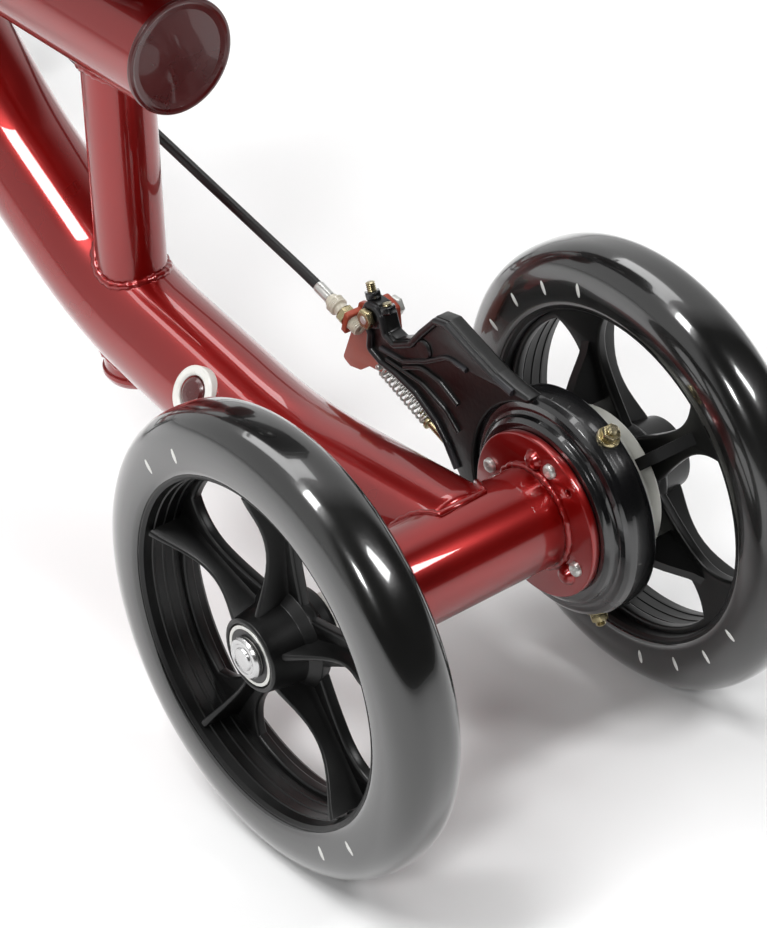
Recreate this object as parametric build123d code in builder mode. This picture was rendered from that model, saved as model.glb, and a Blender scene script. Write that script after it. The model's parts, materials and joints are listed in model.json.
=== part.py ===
"""Four-wheeled steerable knee scooter, in millimetres.

X is the rider's right, Y is forward and Z is up. The origin is on the floor, midway
between the axles. Rest pose: straight ahead, column up, bars and knee pad at their lowest.
"""
import os
from math import cos, radians, sin, tan

from build123d import *

# Overall layout
WHEELBASE = 690.0
REAR_TRACK = 189.3
FRONT_TRACK = 320.0
WHEEL_DIAMETER = 203.2
TYRE_WIDTH = 32.0

# Wheels
TYRE_HEIGHT = 23.6
RIM_WALL = 4.0
HUB_RADIUS = 17.5
HUB_INNER = 17.0
HUB_OUTER = 15.5
SPOKE_COUNT = 5
SPOKE_START_LEFT = 16.0
SPOKE_START_RIGHT = 66.0
SPOKE_WEB = 5.0
SPOKE_RIB = 4.0
AXLE_RADIUS = 6.0
BEARING_RADIUS = 14.0
BEARING_WIDTH = 8.0
CAP_RADIUS = 10.2
CAP_LENGTH = 4.0

# Frame tubes
SPINE_RADIUS = 25.4
SPINE_WALL = 2.0
TOP_RADIUS = 25.4
TOP_WALL = 1.8
TOP_HEIGHT = 255.0
TOP_REAR = 184.0
POST_RADIUS = 15.9
POST_FORWARD = 231.0
POST_FOOT = 76.0
REAR_TUBE_RADIUS = 22.25
REAR_TUBE_WALL = 2.5
REAR_TUBE_LEFT = 52.0
REAR_TUBE_RIGHT = 37.0
HEAD_RADIUS = 28.6
HEAD_WALL = 3.6
HEAD_BOTTOM = 84.0
HEAD_TOP = 350.0
HEAD_JOIN = 316.6

# Front axle
BEAM_RADIUS = 16.0
KINGPIN_OFFSET = 112.0
KINGPIN_RADIUS = 6.0
SLEEVE_RADIUS = 14.0
SLEEVE_HEIGHT = 48.0
EAR_THICKNESS = 6.0
STEER_ARM = 45.0
EYE_RADIUS = 10.0
TIE_BOLT_RADIUS = 4.0
TIE_ROD_RADIUS = 5.0

# Steering column
STEERER_RADIUS = 12.7
COLUMN_RADIUS = 17.0
FOLD_HEIGHT = 500.0
FOLD_PIN_RADIUS = 5.0
COLUMN_LEAN = 8.0
COLUMN_FOOT = 26.0
COLUMN_TOP = 262.0
STEM_RADIUS = 14.3
STEM_BOTTOM = 84.0
BAR_RISE = 335.0
BAR_RADIUS = 11.1
BAR_LENGTH = 440.0
GRIP_LENGTH = 126.0
GRIP_RADIUS = 16.0

# Knee pad
PAD_LENGTH = 350.0
PAD_WIDTH = 180.0
PAD_THICKNESS = 60.0
PAD_TOP = 455.0
PAD_FORWARD = 20.0
PAD_POST_RADIUS = 14.3
PAD_POST_OVERLAP = 185.0

# Rear band brake, on the right wheel
FLANGE_RADIUS = 37.0
FLANGE_WIDTH = 4.0
COVER_RADIUS = 49.8
COVER_WALL = 2.6
COVER_FACE = 60.0
DRUM_RADIUS = 43.5
DRUM_WALL = 4.0
DRUM_NECK_RADIUS = 34.0
DRUM_NECK = 12.5
BAND_THICKNESS = 2.6
CABLE_RADIUS = 2.4

# Fits
SLIDE_FIT = 0.08
RUNNING_FIT = 0.05
FACE_GAP = 0.3

AXLE_Z = WHEEL_DIAMETER / 2
REAR_Y = -WHEELBASE / 2
FRONT_Y = WHEELBASE / 2
POST_Y = REAR_Y + POST_FORWARD

os.makedirs("parts", exist_ok=True)
pieces = {}


def across(x, y=0.0, z=0.0):
    """A plane square to the axles: it is drawn in Y and Z and extruded along X."""
    return Plane(origin=(x, y, z), x_dir=(0, 1, 0), z_dir=(1, 0, 0))


def beside_axle(x, y):
    """A plane through an axle: it is drawn along X and outward, and revolved about the axle."""
    return Plane(origin=(x, y, AXLE_Z), x_dir=(1, 0, 0), z_dir=(0, -1, 0))


def tube(radius, wall):
    """The ring section of a tube, for the sketch that is open."""
    Circle(radius)
    Circle(radius - wall, mode=Mode.SUBTRACT)


def around(radius, angles):
    """Places on a circle, at angles in degrees from forward towards up."""
    return [(radius * cos(radians(angle)), radius * sin(radians(angle))) for angle in angles]


def hexagon(across_flats):
    """A nut's or bolt head's outline, for the sketch that is open."""
    RegularPolygon(radius=across_flats / 2, side_count=6, major_radius=False)


# --- Frame ---------------------------------------------------------------------------

# The spine leaves the rear axle almost level, sweeps up under the pad and levels out
# again at the head tube. Corners are given ahead of the rear axle and above it.
LOW_POINT = (122.0, -11.6)
SWEEP_POINT = (243.0, 8.6)
CLIMB_POINT = (322.0, 57.3)
CLIMB_SLOPE = 40.0
HEAD_SLOPE = 8.0
SPINE_RADII = (240, 175, 200, 150)

head_join_rise = HEAD_JOIN - AXLE_Z
crest_forward = (
    head_join_rise
    - CLIMB_POINT[1]
    + CLIMB_POINT[0] * tan(radians(CLIMB_SLOPE))
    - WHEELBASE * tan(radians(HEAD_SLOPE))
) / (tan(radians(CLIMB_SLOPE)) - tan(radians(HEAD_SLOPE)))
crest_rise = CLIMB_POINT[1] + (crest_forward - CLIMB_POINT[0]) * tan(radians(CLIMB_SLOPE))
spine_plane = across(0, REAR_Y, AXLE_Z)

with BuildLine(spine_plane) as spine_path:
    FilletPolyline(
        (0, 0),
        LOW_POINT,
        SWEEP_POINT,
        CLIMB_POINT,
        (crest_forward, crest_rise),
        (WHEELBASE, head_join_rise),
        radius=SPINE_RADII,
    )

with BuildPart() as spine_envelope:
    with BuildSketch(Plane(spine_path.line @ 0, z_dir=spine_path.line % 0)):
        Circle(SPINE_RADIUS)
    sweep(path=spine_path.line)

with BuildPart() as spine_bore:
    with BuildSketch(Plane(spine_path.line @ 0, z_dir=spine_path.line % 0)):
        Circle(SPINE_RADIUS - SPINE_WALL)
    sweep(path=spine_path.line)

with BuildPart() as main_spine:
    add(spine_envelope.part)
    add(spine_bore.part, mode=Mode.SUBTRACT)
    with Locations((0, REAR_Y, AXLE_Z)):
        Cylinder(REAR_TUBE_RADIUS, 4 * SPINE_RADIUS, rotation=(0, 90, 0), mode=Mode.SUBTRACT)
        Box(4 * SPINE_RADIUS, 4 * SPINE_RADIUS, 4 * SPINE_RADIUS,
            align=(Align.CENTER, Align.MAX, Align.CENTER), mode=Mode.SUBTRACT)
    with Locations((0, POST_Y, AXLE_Z)):
        Cylinder(POST_RADIUS, 6 * SPINE_RADIUS, mode=Mode.SUBTRACT)
    with Locations((0, FRONT_Y, HEAD_JOIN)):
        Cylinder(HEAD_RADIUS, 4 * SPINE_RADIUS, mode=Mode.SUBTRACT)
pieces["main_spine"] = main_spine

CLAMP_HEIGHT = 22.0
SLEEVE_STANDOUT = 26.0
post_top = TOP_HEIGHT + TOP_RADIUS + SLEEVE_STANDOUT
sleeve_bore = PAD_POST_RADIUS + SLIDE_FIT

with BuildPart() as post_sleeve:
    with BuildSketch(Plane.XY.offset(POST_FOOT)):
        with Locations((0, POST_Y)):
            Circle(POST_RADIUS)
            Circle(sleeve_bore, mode=Mode.SUBTRACT)
    extrude(amount=post_top - POST_FOOT)
    with Locations((0, POST_Y, post_top)):
        Box(2 * POST_RADIUS, 2.0, CLAMP_HEIGHT,
            align=(Align.MIN, Align.CENTER, Align.MAX), mode=Mode.SUBTRACT)
pieces["post_sleeve"] = post_sleeve

# The top tube runs level from behind the post into the spine's climb.
with BuildPart() as crossing_tube:
    with BuildSketch(Plane(origin=(0, REAR_Y + TOP_REAR, TOP_HEIGHT), z_dir=(0, 1, 0))):
        tube(TOP_RADIUS, TOP_WALL)
    extrude(amount=crest_forward - TOP_REAR)
    add(spine_envelope.part, mode=Mode.SUBTRACT)
    with Locations((0, POST_Y, TOP_HEIGHT)):
        Cylinder(POST_RADIUS, 4 * TOP_RADIUS, mode=Mode.SUBTRACT)
with BuildPart() as top_tube:
    add(crossing_tube.part.solids().sort_by(Axis.Y)[0])
pieces["top_tube"] = top_tube

CAP_RIM = 1.4
CAP_FACE = 2.2
with BuildPart() as end_cap:
    with BuildSketch(Plane(origin=(0, REAR_Y + TOP_REAR, TOP_HEIGHT), z_dir=(0, -1, 0))):
        Circle(TOP_RADIUS + CAP_RIM / 2)
    extrude(amount=CAP_FACE)
    fillet(end_cap.faces().sort_by(Axis.Y)[0].edges(), CAP_RIM)
    with BuildSketch(Plane(origin=(0, REAR_Y + TOP_REAR, TOP_HEIGHT), z_dir=(0, 1, 0))):
        Circle(TOP_RADIUS - TOP_WALL)
    extrude(amount=10.0)

with BuildPart() as rear_axle_tube:
    with BuildSketch(across(-REAR_TUBE_LEFT, REAR_Y, AXLE_Z)):
        tube(REAR_TUBE_RADIUS, REAR_TUBE_WALL)
    extrude(amount=REAR_TUBE_LEFT + REAR_TUBE_RIGHT)
    with BuildSketch(across(-REAR_TUBE_LEFT, REAR_Y, AXLE_Z)):
        Circle(REAR_TUBE_RADIUS)
        Circle(AXLE_RADIUS, mode=Mode.SUBTRACT)
    extrude(amount=5.0)
pieces["rear_axle_tube"] = rear_axle_tube

# The flange that the brake bolts to, with two weld buttons on its inboard face.
WELD_RADIUS = 4.6
WELD_PLACES = around(28.0, (90.6, 221.4))
SCREW_PLACES = around(29.6, (22.0, 111.0, 205.0, 295.0))
SCREW_RADIUS = 2.5
with BuildPart() as brake_flange:
    with BuildSketch(across(REAR_TUBE_RIGHT, REAR_Y, AXLE_Z)):
        Circle(FLANGE_RADIUS)
        Circle(AXLE_RADIUS, mode=Mode.SUBTRACT)
        with Locations(SCREW_PLACES):
            Circle(SCREW_RADIUS, mode=Mode.SUBTRACT)
    extrude(amount=FLANGE_WIDTH)
    with Locations(across(REAR_TUBE_RIGHT, REAR_Y, AXLE_Z)):
        with Locations(WELD_PLACES):
            Cylinder(WELD_RADIUS, WELD_RADIUS - 1.0, align=(Align.CENTER, Align.CENTER, Align.MAX))
    buttons = brake_flange.faces().filter_by(Axis.X).sort_by(Axis.X)[:2]
    fillet(buttons.edges(), 2.6)
pieces["brake_flange"] = brake_flange

rear_hub_inner = REAR_TRACK / 2 - HUB_INNER
rear_hub_outer = REAR_TRACK / 2 + HUB_OUTER
with BuildPart() as rear_axle:
    with BuildSketch(across(-rear_hub_outer - CAP_LENGTH, REAR_Y, AXLE_Z)):
        Circle(AXLE_RADIUS)
    extrude(amount=2 * (rear_hub_outer + CAP_LENGTH))
    for side in (-1, 1):
        with BuildSketch(across(side * (rear_hub_outer + FACE_GAP), REAR_Y, AXLE_Z)):
            Circle(CAP_RADIUS)
        extrude(amount=side * (CAP_LENGTH - FACE_GAP))
pieces["rear_axle"] = rear_axle

SPACER_RADIUS = 10.5
with BuildPart() as axle_spacers:
    with BuildSketch(across(-REAR_TUBE_LEFT, REAR_Y, AXLE_Z)):
        Circle(SPACER_RADIUS)
        Circle(AXLE_RADIUS, mode=Mode.SUBTRACT)
    extrude(amount=-(rear_hub_inner - REAR_TUBE_LEFT - FACE_GAP))
    with BuildSketch(across(REAR_TUBE_RIGHT + FLANGE_WIDTH, REAR_Y, AXLE_Z)):
        Circle(SPACER_RADIUS)
        Circle(AXLE_RADIUS, mode=Mode.SUBTRACT)
    extrude(amount=rear_hub_inner - REAR_TUBE_RIGHT - FLANGE_WIDTH - FACE_GAP)
pieces["axle_spacers"] = axle_spacers

cup_seat = HEAD_RADIUS - HEAD_WALL
with BuildPart() as head_tube:
    with BuildSketch(Plane.XY.offset(HEAD_BOTTOM)):
        with Locations((0, FRONT_Y)):
            Circle(HEAD_RADIUS)
            Circle(cup_seat, mode=Mode.SUBTRACT)
    extrude(amount=HEAD_TOP - HEAD_BOTTOM)
pieces["head_tube"] = head_tube

CUP_DEPTH = 15.0
CUP_FLANGE = 6.0
with BuildPart() as headset_cups:
    for end, direction in ((HEAD_TOP, 1), (HEAD_BOTTOM, -1)):
        with BuildSketch(Plane.XY.offset(end)):
            with Locations((0, FRONT_Y)):
                Circle(HEAD_RADIUS + 1.0)
                Circle(STEERER_RADIUS + RUNNING_FIT, mode=Mode.SUBTRACT)
        extrude(amount=direction * CUP_FLANGE)
        with BuildSketch(Plane.XY.offset(end)):
            with Locations((0, FRONT_Y)):
                Circle(cup_seat)
                Circle(STEERER_RADIUS + RUNNING_FIT, mode=Mode.SUBTRACT)
        extrude(amount=-direction * CUP_DEPTH)
pieces["headset_cups"] = headset_cups

with BuildPart() as front_beam:
    with BuildSketch(across(-KINGPIN_OFFSET, FRONT_Y, AXLE_Z)):
        tube(BEAM_RADIUS, 2.0)
    extrude(amount=2 * KINGPIN_OFFSET)
    with Locations((0, FRONT_Y, AXLE_Z)):
        Cylinder(HEAD_RADIUS, 4 * BEAM_RADIUS, mode=Mode.SUBTRACT)
    for side in (-1, 1):
        with Locations((side * KINGPIN_OFFSET, FRONT_Y, AXLE_Z)):
            Cylinder(SLEEVE_RADIUS, SLEEVE_HEIGHT)
            Box(2 * SLEEVE_RADIUS, 4 * SLEEVE_RADIUS, SLEEVE_HEIGHT, mode=Mode.SUBTRACT,
                align=(Align.MIN if side > 0 else Align.MAX, Align.CENTER, Align.CENTER))
            Cylinder(SLEEVE_RADIUS, SLEEVE_HEIGHT)
            Cylinder(KINGPIN_RADIUS, SLEEVE_HEIGHT, mode=Mode.SUBTRACT)
pieces["front_beam"] = front_beam

KINGPIN_HEAD = 7.0
ear_top = AXLE_Z + SLEEVE_HEIGHT / 2 + FACE_GAP + EAR_THICKNESS
ear_bottom = AXLE_Z - SLEEVE_HEIGHT / 2 - FACE_GAP - EAR_THICKNESS
with BuildPart() as kingpins:
    for side in (-1, 1):
        with BuildSketch(Plane.XY.offset(ear_bottom - FACE_GAP)):
            with Locations((side * KINGPIN_OFFSET, FRONT_Y)):
                Circle(KINGPIN_RADIUS)
        extrude(amount=ear_top - ear_bottom + 2 * FACE_GAP)
        for end, direction in ((ear_top + FACE_GAP, 1), (ear_bottom - FACE_GAP, -1)):
            with BuildSketch(Plane.XY.offset(end)):
                with Locations((side * KINGPIN_OFFSET, FRONT_Y)):
                    hexagon(19.0)
            extrude(amount=direction * KINGPIN_HEAD)
pieces["kingpins"] = kingpins

# A round plug in a white washer, on the spine's upper left just ahead of the rear wheel.
PLUG_FORWARD = 157.0
PLUG_ANGLE = 32.0
PLUG_RADIUS = 7.8
WASHER_RADIUS = 12.2
WASHER_SINK = 3.6
plug_plane = Plane(
    origin=(0, REAR_Y + PLUG_FORWARD, AXLE_Z - 6.0),
    x_dir=(0, 1, 0),
    z_dir=(-cos(radians(PLUG_ANGLE)), 0, sin(radians(PLUG_ANGLE))),
)
with BuildPart() as plug_washer:
    with BuildSketch(plug_plane.offset(SPINE_RADIUS - WASHER_SINK)):
        Circle(WASHER_RADIUS)
        Circle(PLUG_RADIUS, mode=Mode.SUBTRACT)
    extrude(amount=WASHER_SINK + 2.0)
    add(spine_envelope.part, mode=Mode.SUBTRACT)
    fillet(plug_washer.faces().sort_by(Axis(plug_plane.origin, plug_plane.z_dir))[-1].edges(), 0.6)
pieces["plug_washer"] = plug_washer

with BuildPart() as round_plug:
    with BuildSketch(plug_plane.offset(SPINE_RADIUS - WASHER_SINK)):
        Circle(PLUG_RADIUS)
    extrude(amount=WASHER_SINK + 2.6)
    add(spine_envelope.part, mode=Mode.SUBTRACT)
    fillet(round_plug.faces().sort_by(Axis(plug_plane.origin, plug_plane.z_dir))[-1].edges(), 1.2)
with BuildPart() as frame_plugs:
    add(end_cap.part)
    add(round_plug.part)
pieces["frame_plugs"] = frame_plugs

# --- Rear brake ----------------------------------------------------------------------

# The stamped cover is fixed to the flange and reaches forward as an arm, which carries
# the brake lever at its tip. Outlines are given ahead of the axle and above it.
COVER_BACK = REAR_TUBE_RIGHT + FLANGE_WIDTH
COVER_STEP = COVER_BACK + 6.5
ARM_NEAR = 43.5
ARM_FAR = 51.0
ARM_RIM = 2.2
ARM_EDGE = 3.2
ARM_OUTLINE = (
    (26.0, 40.0), (30.0, 51.5), (44.0, 55.7), (62.0, 62.4), (70.5, 60.8), (81.0, 49.5),
    (88.0, 41.0), (98.0, 35.7), (103.0, 37.0), (105.5, 44.5), (110.0, 47.6), (116.7, 47.6),
    (121.0, 40.0), (116.5, 31.0), (117.5, 22.5), (108.0, 18.5), (98.0, 17.6), (85.0, 14.4),
    (72.0, 6.7), (65.3, -0.3), (58.8, -10.0), (54.2, -16.5), (40.0, -24.0), (30.0, 0.0),
)
LEVER_PIVOT = (113.0, 41.0)
LEVER_PIN_RADIUS = 2.5

with BuildPart() as brake_cover:
    with BuildSketch(across(ARM_NEAR, REAR_Y, AXLE_Z)) as arm_sketch:
        with BuildLine():
            FilletPolyline(ARM_OUTLINE, radius=1.6, close=True)
        make_face()
    extrude(amount=ARM_FAR - ARM_NEAR)
    with BuildSketch(across(ARM_NEAR, REAR_Y, AXLE_Z)):
        add(arm_sketch.sketch_local)
        offset(amount=-ARM_EDGE, mode=Mode.SUBTRACT)
    extrude(amount=-ARM_RIM)
    with Locations(across(ARM_NEAR - ARM_RIM, REAR_Y, AXLE_Z)):
        Cylinder(COVER_RADIUS - 1.0, COVER_RADIUS, mode=Mode.SUBTRACT,
                 align=(Align.CENTER, Align.CENTER, Align.MIN))
    with BuildSketch(beside_axle(0, REAR_Y)):
        with BuildLine():
            Polyline(
                (COVER_BACK, SPACER_RADIUS + 1.5),
                (COVER_BACK, FLANGE_RADIUS + 2.0),
                (COVER_BACK + 4.0, COVER_RADIUS - 4.5),
                (COVER_STEP, COVER_RADIUS),
                (COVER_FACE, COVER_RADIUS),
                (COVER_FACE, COVER_RADIUS - COVER_WALL),
                (COVER_STEP + 2.2, COVER_RADIUS - COVER_WALL),
                (COVER_BACK + 5.0, COVER_RADIUS - 7.0),
                (COVER_BACK + 3.0, FLANGE_RADIUS),
                (COVER_BACK + 3.0, SPACER_RADIUS + 1.5),
                close=True,
            )
        make_face()
    revolve(axis=Axis((0, REAR_Y, AXLE_Z), (1, 0, 0)))
    with Locations(across(ARM_NEAR, REAR_Y, AXLE_Z)):
        with Locations(LEVER_PIVOT):
            Cylinder(LEVER_PIN_RADIUS, COVER_RADIUS, mode=Mode.SUBTRACT)
        with Locations(SCREW_PLACES):
            Cylinder(SCREW_RADIUS, COVER_RADIUS, mode=Mode.SUBTRACT)
pieces["brake_cover"] = brake_cover

# Places along the cable's end, the adjuster and the return spring, which share a plane.
TAB_POINT = (131.0, 27.7)
CABLE_SLOPE = 16.5
CABLE_X = 46.4
SPRING_TOP = (110.0, 14.0)
SPRING_FOOT = (80.5, 2.5)
SPRING_RADIUS = 3.0
SPRING_WIRE = 0.55
SPRING_TURNS = 11
POST_LENGTH = 24.0
POST_INSIDE = 5.0
spring_run = Vector(SPRING_FOOT) - Vector(SPRING_TOP)
spring_plane = Plane(
    origin=(CABLE_X, REAR_Y + SPRING_TOP[0], AXLE_Z + SPRING_TOP[1]),
    x_dir=(1, 0, 0),
    z_dir=(0, spring_run.X, spring_run.Y),
)
tab_plane = Plane(
    origin=(CABLE_X, REAR_Y + TAB_POINT[0], AXLE_Z + TAB_POINT[1]),
    x_dir=(1, 0, 0),
    z_dir=(0, cos(radians(CABLE_SLOPE)), sin(radians(CABLE_SLOPE))),
)

# Screws through the flange and cover, the pin the brake lever turns on and the spring's post.
LEVER_NEAR = ARM_FAR + FACE_GAP
LEVER_THICKNESS = 3.0
with BuildPart() as brake_screws:
    with Locations(across(REAR_TUBE_RIGHT, REAR_Y, AXLE_Z)):
        with Locations(SCREW_PLACES):
            Cylinder(SCREW_RADIUS, FLANGE_WIDTH + 3.0,
                     align=(Align.CENTER, Align.CENTER, Align.MIN))
            Cylinder(SCREW_RADIUS + 0.9, 2.4, align=(Align.CENTER, Align.CENTER, Align.MAX))
    with Locations(across(ARM_NEAR - ARM_RIM, REAR_Y, AXLE_Z)):
        with Locations(LEVER_PIVOT):
            Cylinder(LEVER_PIN_RADIUS, LEVER_NEAR + LEVER_THICKNESS + 1.0 - ARM_NEAR + ARM_RIM,
                     align=(Align.CENTER, Align.CENTER, Align.MIN))
            Cylinder(4.2, 3.4, align=(Align.CENTER, Align.CENTER, Align.MAX))
    with Locations(across(LEVER_NEAR + LEVER_THICKNESS + FACE_GAP, REAR_Y, AXLE_Z)):
        with Locations(LEVER_PIVOT):
            Cylinder(4.4, 3.0, align=(Align.CENTER, Align.CENTER, Align.MIN))
    with BuildSketch(spring_plane.offset(spring_run.length - POST_INSIDE)):
        Circle(1.7)
    extrude(amount=POST_LENGTH)
    add(brake_cover.part, mode=Mode.SUBTRACT)
pieces["brake_screws"] = brake_screws

# The brake lever hangs from the arm's tip. Its tab carries the cable's adjuster, and a
# pin on it holds the spring.
LEVER_OUTLINE = (
    (107.5, 44.0), (116.0, 47.0), (124.0, 38.0), (133.5, 35.0), (137.0, 24.0), (143.0, 9.0),
    (146.5, 0.5), (141.5, -2.0), (134.0, -0.5), (127.5, 4.6), (118.5, 5.5), (108.0, 11.0),
    (106.0, 26.0),
)
ADJUSTER_RADIUS = 3.6
ADJUSTER_FRONT = 16.5
ADJUSTER_BACK = 5.0
ADJUSTER_SEAT = 6.0
WIRE_RADIUS = 1.0
SPRING_PIN = 1.4
spring_pin_at = Vector(SPRING_TOP) - spring_run.normalized() * (SPRING_PIN + SPRING_WIRE + 0.1)
with BuildPart() as brake_arm:
    with BuildSketch(across(LEVER_NEAR, REAR_Y, AXLE_Z)):
        with BuildLine():
            FilletPolyline(LEVER_OUTLINE, radius=1.5, close=True)
        make_face()
        with Locations(LEVER_PIVOT):
            Circle(LEVER_PIN_RADIUS + RUNNING_FIT, mode=Mode.SUBTRACT)
    extrude(amount=LEVER_THICKNESS)
    with BuildSketch(tab_plane):
        with Locations(((LEVER_NEAR - CABLE_X - 3.0) / 2, 0.0)):
            Rectangle(LEVER_NEAR - CABLE_X + 2 * LEVER_THICKNESS + 3.0, 11.0)
        Circle(ADJUSTER_RADIUS, mode=Mode.SUBTRACT)
    extrude(amount=LEVER_THICKNESS)
    with BuildSketch(across(LEVER_NEAR, REAR_Y, AXLE_Z)):
        with Locations((spring_pin_at.X, spring_pin_at.Y)):
            Circle(SPRING_PIN)
    extrude(amount=CABLE_X - SPRING_RADIUS - LEVER_NEAR)
pieces["brake_arm"] = brake_arm

with BuildPart() as cable_adjuster:
    with BuildSketch(tab_plane.offset(-ADJUSTER_BACK)):
        Circle(ADJUSTER_RADIUS)
    extrude(amount=ADJUSTER_BACK + ADJUSTER_FRONT)
    with BuildSketch(tab_plane.offset(LEVER_THICKNESS)):
        hexagon(8.0)
    extrude(amount=4.0)
    with BuildSketch(tab_plane.offset(ADJUSTER_FRONT - 6.0)):
        Circle(ADJUSTER_RADIUS + 0.8)
    extrude(amount=4.0)
    with BuildSketch(tab_plane.offset(ADJUSTER_SEAT)):
        Circle(CABLE_RADIUS)
    extrude(amount=ADJUSTER_FRONT, mode=Mode.SUBTRACT)
    with BuildSketch(tab_plane.offset(-ADJUSTER_BACK)):
        Circle(WIRE_RADIUS)
    extrude(amount=ADJUSTER_FRONT, mode=Mode.SUBTRACT)
pieces["cable_adjuster"] = cable_adjuster

with BuildLine() as spring_path:
    Helix(pitch=spring_run.length / SPRING_TURNS, height=spring_run.length, radius=SPRING_RADIUS)
with BuildPart() as straight_spring:
    with BuildSketch(Plane(spring_path.line @ 0, z_dir=spring_path.line % 0)):
        Circle(SPRING_WIRE)
    sweep(path=spring_path.line, is_frenet=True)
with BuildPart() as return_spring:
    with Locations(spring_plane):
        add(straight_spring.part)
pieces["return_spring"] = return_spring

band_outer = COVER_RADIUS - COVER_WALL - 0.4
with BuildPart() as brake_band:
    with BuildSketch(across(COVER_STEP + 4.0, REAR_Y, AXLE_Z)):
        Circle(band_outer)
        Circle(band_outer - BAND_THICKNESS, mode=Mode.SUBTRACT)
        with Locations(Rotation(0, 0, 30.0) * Location((band_outer, 0))):
            Rectangle(4 * BAND_THICKNESS, 8.0, mode=Mode.SUBTRACT)
    extrude(amount=COVER_FACE - COVER_STEP - 5.5)
pieces["brake_band"] = brake_band

BAND_SCREW_X = 55.5
with BuildPart() as band_screws:
    for angle in (120.0, 248.0):
        outward = Vector(0, cos(radians(angle)), sin(radians(angle)))
        rim = Plane(
            origin=Vector(BAND_SCREW_X, REAR_Y, AXLE_Z) + outward * COVER_RADIUS,
            x_dir=(1, 0, 0),
            z_dir=outward,
        )
        with BuildSketch(rim):
            Circle(4.6)
        extrude(amount=1.4)
        with BuildSketch(rim.offset(1.4)):
            hexagon(7.0)
        extrude(amount=4.0)
        with BuildSketch(rim.offset(5.4)):
            Circle(2.2)
        extrude(amount=2.5)
pieces["band_screws"] = band_screws

drum_inner_x = COVER_STEP + 4.5
drum_shoulder_x = rear_hub_inner - DRUM_NECK
with BuildPart() as brake_drum:
    with BuildSketch(across(drum_inner_x, REAR_Y, AXLE_Z)):
        tube(DRUM_RADIUS, DRUM_WALL)
    extrude(amount=drum_shoulder_x - drum_inner_x)
    with BuildSketch(across(drum_shoulder_x, REAR_Y, AXLE_Z)):
        Circle(DRUM_RADIUS)
        Circle(DRUM_NECK_RADIUS - DRUM_WALL, mode=Mode.SUBTRACT)
    extrude(amount=-DRUM_WALL)
    with BuildSketch(across(drum_shoulder_x, REAR_Y, AXLE_Z)):
        tube(DRUM_NECK_RADIUS, DRUM_WALL)
    extrude(amount=DRUM_NECK)
    with BuildSketch(across(rear_hub_inner, REAR_Y, AXLE_Z)):
        Circle(DRUM_NECK_RADIUS)
        Circle(SPACER_RADIUS + 1.0, mode=Mode.SUBTRACT)
    extrude(amount=-DRUM_WALL)
pieces["brake_drum"] = brake_drum

# --- Wheels --------------------------------------------------------------------------

tyre_bore = WHEEL_DIAMETER / 2 - TYRE_HEIGHT
rim_half = TYRE_WIDTH / 2 - 1.6
wheel_places = {
    "rear_left": (-REAR_TRACK / 2, REAR_Y, -1, SPOKE_START_LEFT),
    "rear_right": (REAR_TRACK / 2, REAR_Y, 1, SPOKE_START_RIGHT),
    "front_left": (-FRONT_TRACK / 2, FRONT_Y, -1, SPOKE_START_LEFT),
    "front_right": (FRONT_TRACK / 2, FRONT_Y, 1, SPOKE_START_RIGHT),
}


def make_tyre(x, y):
    """A solid tyre: flat-sided at the rim, then round over the tread."""
    radius = WHEEL_DIAMETER / 2
    half = TYRE_WIDTH / 2
    with BuildPart() as tyre:
        with BuildSketch(beside_axle(x, y)):
            with BuildLine():
                Line((-rim_half, tyre_bore), (-rim_half, tyre_bore - 1.7))
                Line((-rim_half, tyre_bore - 1.7), (-half + 0.3, tyre_bore - 0.6))
                Line((-half + 0.3, tyre_bore - 0.6), (-half, tyre_bore + 6.0))
                ThreePointArc((-half, tyre_bore + 6.0), (-0.68 * half, radius - 3.9), (0, radius))
                mirror(about=Plane.YZ)
                Line((-rim_half, tyre_bore), (rim_half, tyre_bore))
            make_face()
        revolve(axis=Axis((x, y, AXLE_Z), (1, 0, 0)))
    return tyre


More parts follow.
